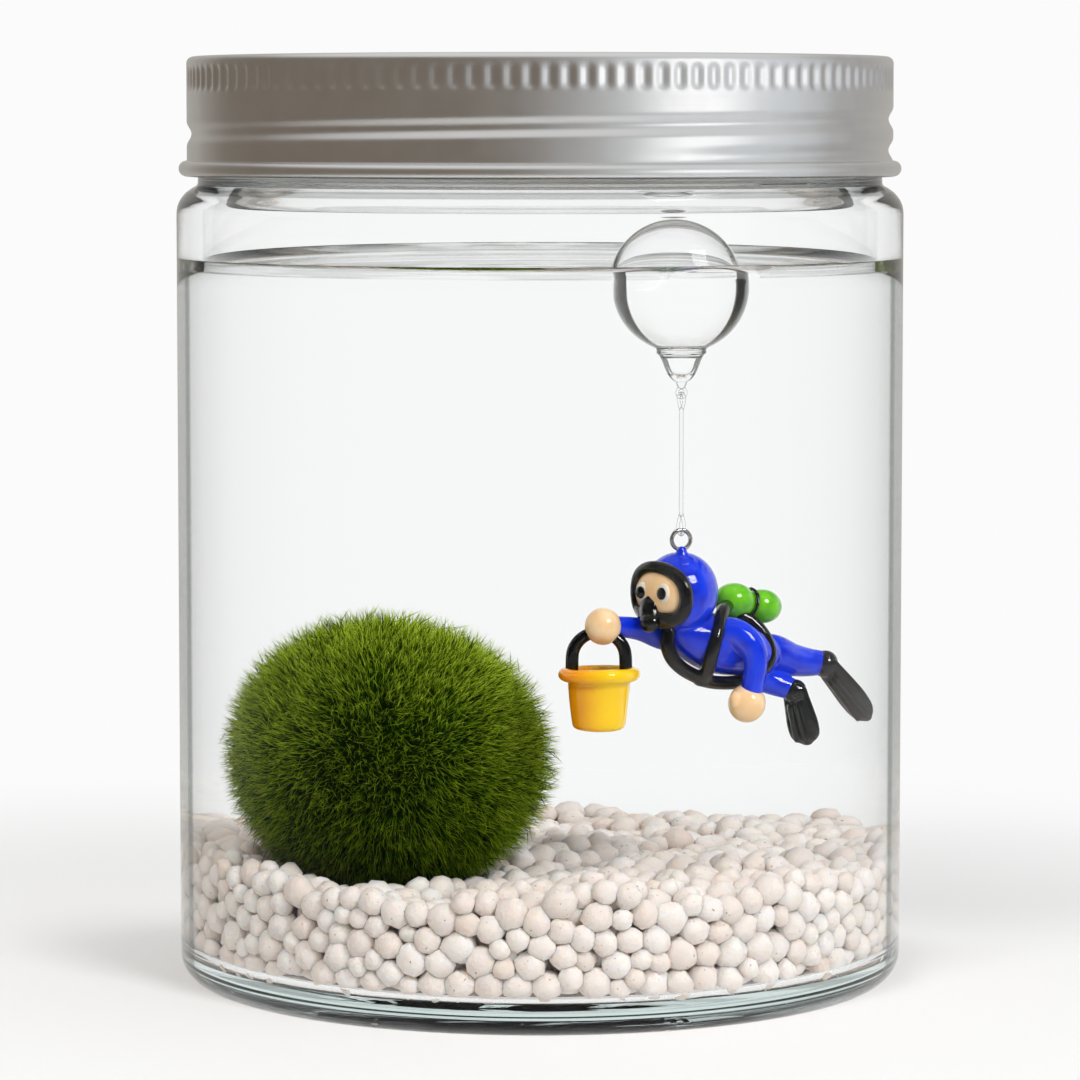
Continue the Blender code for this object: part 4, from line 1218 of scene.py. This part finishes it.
harness = {
    "near": [(19.2, -21.6, 46.5), (18.9, -24.0, 46.0), (18.6, -25.8, 44.6), (18.2, -26.7, 42.9),
             (17.7, -26.5, 40.8), (17.2, -25.2, 39.2), (17.2, -24.0, 38.8)],
    "far": [(13.5, -27.6, 44.4), (13.4, -27.9, 42.9), (13.9, -27.6, 41.4), (14.9, -26.7, 40.2),
            (16.2, -25.6, 39.3), (17.2, -24.6, 38.9)],
    "waist": [(16.6, -25.2, 38.9), (18.3, -23.8, 38.4), (20.5, -22.0, 38.3), (22.6, -20.7, 39.2),
              (23.6, -20.1, 41.0), (23.0, -20.0, 43.0), (21.7, -20.1, 44.6), (20.7, -20.4, 45.2)],
    "thick": 0.76,
}


def makeHarness():
    bm = bmesh.new()
    for strap in ("near", "far", "waist"):
        limb(bm, [(*point, harness["thick"]) for point in harness[strap]], 6, 20)
    fuse(bm, 0.12, 4)
    finishPiece(bm, "harnessStraps", "black", "jar", ["harness"])


fins = {"left": ((28.9, -13.5, 39.3), (33.8, -11.0, 32.8), 1.5),
        "right": ((26.0, -17.0, 36.7), (27.4, -16.6, 30.9), 1.3),
        "half": 2.05, "flat": 0.38, "up": (-0.45, -0.85, -0.3)}


def makeFin(side):
    heel, tip, ankle = fins[side]
    heel, tip = Vector(heel), Vector(tip)
    stations = ((0.0, 0.78), (0.15, 0.82), (0.4, 0.92), (0.65, 1.0), (0.85, 0.92), (0.95, 0.66), (1.0, 0.35))
    bm = bmesh.new()
    limb(bm, [(*heel.lerp(tip, share), fins["half"] * width) for share, width in stations], 5, 28,
         fins["flat"], fins["up"])
    along = (tip - heel).normalized()
    normal = Vector(fins["up"])
    normal = (normal - along * normal.dot(along)).normalized()
    across = along.cross(normal)
    for shift in (-0.75, 0.0, 0.75):                   # ribs pressed into the blade
        rib = [(*(heel.lerp(tip, share) + across * shift * (0.8 + 0.5 * share) + normal * 0.55), 0.30)
               for share in (0.25, 0.5, 0.75, 0.9)]
        limb(bm, rib, 4, 12)
    blob(bm, heel, (ankle,) * 3)
    fuse(bm, 0.12, 5)
    finishPiece(bm, "fin_" + side, "black", "jar", ["fin_" + side])


bucket = {"x": 6.5, "y": -29.0, "bottom": 33.9, "rim": 39.85, "rimRadius": 3.38, "rimTube": 0.74}


def makeBucket():
    bottom, rim = bucket["bottom"], bucket["rim"]
    outline = [(0.0, bottom)]
    outline += curveThrough([(1.6, bottom), (2.2, bottom + 0.06), (2.62, bottom + 0.4), (2.78, bottom + 1.2),
                             (2.95, bottom + 3.0), (3.14, rim - 0.9)], 4)
    outline += arc((bucket["rimRadius"], rim), bucket["rimTube"], -78, 190, 22)
    outline += curveThrough([(2.66, rim - 0.7), (2.5, bottom + 3.0), (2.3, bottom + 1.3),
                             (1.8, bottom + 0.8)], 4)
    outline += [(0.0, bottom + 0.75)]
    bm = bmesh.new()
    turnOutline(bm, outline, 72, (bucket["x"], bucket["y"]))
    for vert in bm.verts:                              # worked by hand, so not quite round
        wave = noise.noise(vert.co * 0.25)
        vert.co.x += (vert.co.x - bucket["x"]) * 0.03 * wave
        vert.co.y += (vert.co.y - bucket["y"]) * 0.03 * wave
        vert.co.z += 0.12 * noise.noise(vert.co * 0.3 + Vector((3.0, 0.0, 0.0)))
    finishPiece(bm, "bucketPail", "bucket", "jar", ["bucket"])


def makeHandle():
    arch = arc((0.0, 41.7), 2.68, 0, 180, 12)
    outline = [(2.72, 40.0), (2.7, 40.9)] + arch + [(-2.7, 40.9), (-2.72, 40.0)]
    bm = bmesh.new()
    limb(bm, [(bucket["x"] + across, bucket["y"], height, 0.66) for across, height in outline], 3, 20)
    finishPiece(bm, "bucketHandle", "black", "jar", ["bucket_handle"])


# the water drawn here bends light less than real water, so the diver is drawn a little larger in it
closer = {"middle": (13.5, -27.0, 50.0), "scale": 1.045}
beforeDiver = set(scene.objects)

makeSuit()
makeMask()
makeFace()
makeRegulator()
makeHands()
makeTank()
makeHarness()
makeFin("left")
makeFin("right")
makeBucket()
makeHandle()
pivot = Matrix.Translation(Vector(closer["middle"]) * millimetre)
for piece in set(scene.objects) - beforeDiver:
    piece.data.transform(pivot @ Matrix.Scale(closer["scale"], 4) @ pivot.inverted())
print("diver ready")

studio = {"floorRadius": 3.0, "plainTo": 0.042, "fadeTo": 0.20, "white": 0.965,
          "warmDark": (0.20, 0.17, 0.14), "coolLight": (0.72, 0.75, 0.78), "dim": (0.40, 0.39, 0.38),
          "behind": (0.52, 0.50, 0.47), "wetRoom": 0.06, "paintedFootGlow": 0.6,
          "window": (0.79, -0.61, 0.02), "windowLight": 1.5}


def makeFloor():
    bm = bmesh.new()
    bmesh.ops.create_circle(bm, cap_ends=True, radius=studio["floorRadius"], segments=96)
    bmesh.ops.translate(bm, vec=(0.0, 0.0, -0.00003), verts=bm.verts)
    mesh = bpy.data.meshes.new("floor")
    bm.to_mesh(mesh)
    bm.free()
    floor = bpy.data.objects.new("floor", mesh)
    scene.collection.objects.link(floor)
    material, sheet = newMaterial("palePaper")
    point = sheet.node("ShaderNodeTexCoord", {}, {}, "Object")
    reach = sheet.node("ShaderNodeVectorMath", {"operation": "LENGTH"}, {0: point}, "Value")
    far = sheet.span(reach, studio["plainTo"], studio["fadeTo"])
    paper = sheet.gloss({"Base Color": (0.88, 0.88, 0.88), "Roughness": 0.8, "Specular IOR Level": 0.15})
    path = sheet.tree.nodes.new("ShaderNodeLightPath")
    straight = 1.0 - shinesInside(sheet, path) * 0.8
    seen = sheet.node("ShaderNodeMath", {"operation": "MAXIMUM"},
                      {0: Wire(sheet, path.outputs["Is Camera Ray"]),
                       1: Wire(sheet, path.outputs["Is Transmission Ray"]) * straight})
    glow = sheet.node("ShaderNodeEmission", {}, {"Color": (studio["white"],) * 3 + (1.0,), "Strength": 1.0})
    # painted pool of light: seen through the glass, the paper below glows as if lit by the light the glass
    # foot gathers
    paintedFootGlow = Wire(sheet, path.outputs["Is Transmission Ray"]) * studio["paintedFootGlow"]
    far = sheet.node("ShaderNodeMath", {"operation": "MAXIMUM"}, {0: far, 1: paintedFootGlow})
    clear = sheet.node("ShaderNodeBsdfTransparent", {}, {})
    away = sheet.node("ShaderNodeMixShader", {}, {0: seen, 1: clear, 2: glow})
    surface(sheet, sheet.node("ShaderNodeMixShader", {}, {0: far, 1: paper, 2: away}))
    mesh.materials.append(material)


def shinesInside(sheet, path):
    # 1 for a view that has come off a piece in the jar and left through the glass again
    mirrored = 1.0 - below(sheet, Wire(sheet, path.outputs["Glossy Depth"]), 0.5)
    return mirrored * (1.0 - below(sheet, Wire(sheet, path.outputs["Transmission Depth"]), 3.5))


def makeWorld():
    world = bpy.data.worlds.new("studio")
    world.use_nodes = True
    scene.world = world
    sheet = Sheet(world.node_tree)
    direction = sheet.node("ShaderNodeTexCoord", {}, {}, "Generated")
    right, back, up = sheet.split(direction)
    white = (studio["white"],) * 3
    coolSide = sheet.blend(sheet.span(back, 0.0, 0.42), studio["coolLight"], studio["dim"])
    sides = sheet.blend(sheet.span(right, -0.30, 0.85), studio["warmDark"], coolSide)
    room = sheet.blend(sheet.span(back, 0.5, 0.95), sides, studio["behind"])
    room = sheet.blend(sheet.span(up, 0.45, 0.8), room, (0.80, 0.80, 0.80))
    aim = Vector(studio["window"]).normalized()
    toward = right * aim.x + back * aim.y + up * aim.z
    room = sheet.blend(sheet.span(toward, 0.93, 0.985), room, (studio["windowLight"],) * 3)
    through = sheet.blend(sheet.span(up, 0.42, 0.75), white, (0.10, 0.12, 0.12))
    path = sheet.tree.nodes.new("ShaderNodeLightPath")
    # what shines off the pieces in the water is a darker room than the lid's, as in a box of black card
    shaded = sheet.blend(1.0, room, (studio["wetRoom"],) * 3, "MULTIPLY")
    wetView = sheet.blend(shinesInside(sheet, path) * sheet.span(back, 0.45, 0.1), through, shaded)
    room = sheet.blend(Wire(sheet, path.outputs["Is Transmission Ray"]), room, wetView)
    room = sheet.blend(Wire(sheet, path.outputs["Is Camera Ray"]), room, white)
    shining = sheet.node("ShaderNodeBackground", {}, {"Color": room})
    sheet.node("ShaderNodeOutputWorld", {}, {"Surface": shining})


def addLamp(name, place, target, size, power, colour, onlyGloss=False):
    lamp = bpy.data.lights.new(name, "AREA")
    lamp.shape = "RECTANGLE"
    lamp.size, lamp.size_y = size
    lamp.energy = power
    lamp.color = colour
    holder = bpy.data.objects.new(name, lamp)
    scene.collection.objects.link(holder)
    holder.location = place
    holder.rotation_euler = (Vector(target) - Vector(place)).to_track_quat("-Z", "Y").to_euler()
    holder.visible_camera = False
    holder.visible_glossy = False              # the lid reflects the room, not the lamps
    holder.visible_transmission = onlyGloss    # a glint on a wet piece leaves through the glass
    holder.visible_diffuse = not onlyGloss


def makeCamera():
    lens = bpy.data.cameras.new("view")
    lens.lens = 161.9
    lens.sensor_width = 36.0
    lens.clip_start = 0.01
    holder = bpy.data.objects.new("view", lens)
    scene.collection.objects.link(holder)
    holder.location = (0.0, -0.5705, 0.1007)
    holder.rotation_euler = (radians(90.0 - 4.907), 0.0, 0.0)
    scene.camera = holder


makeFloor()
makeWorld()
addLamp("keyLight", (0.52, -0.70, 0.66), (0.0, 0.0, 0.06), (0.26, 0.30), 5.2, (0.98, 0.99, 1.0))
addLamp("fillLight", (-0.42, -0.62, 0.85), (0.0, 0.0, 0.03), (0.30, 0.24), 3.6, (1.0, 0.99, 0.97))
addLamp("glintLight", (0.62, -0.46, 0.74), (0.0, 0.0, 0.05), (0.42, 0.46), 20.0, (1.0, 1.0, 1.0),
        onlyGloss=True)
makeCamera()
scene.view_settings.view_transform = "Standard"
scene.cycles.max_bounces = 28
scene.cycles.transmission_bounces = 28
scene.cycles.glossy_bounces = 12
scene.cycles.diffuse_bounces = 6
scene.cycles.transparent_max_bounces = 12
scene.cycles.caustics_reflective = False
scene.cycles.caustics_refractive = False
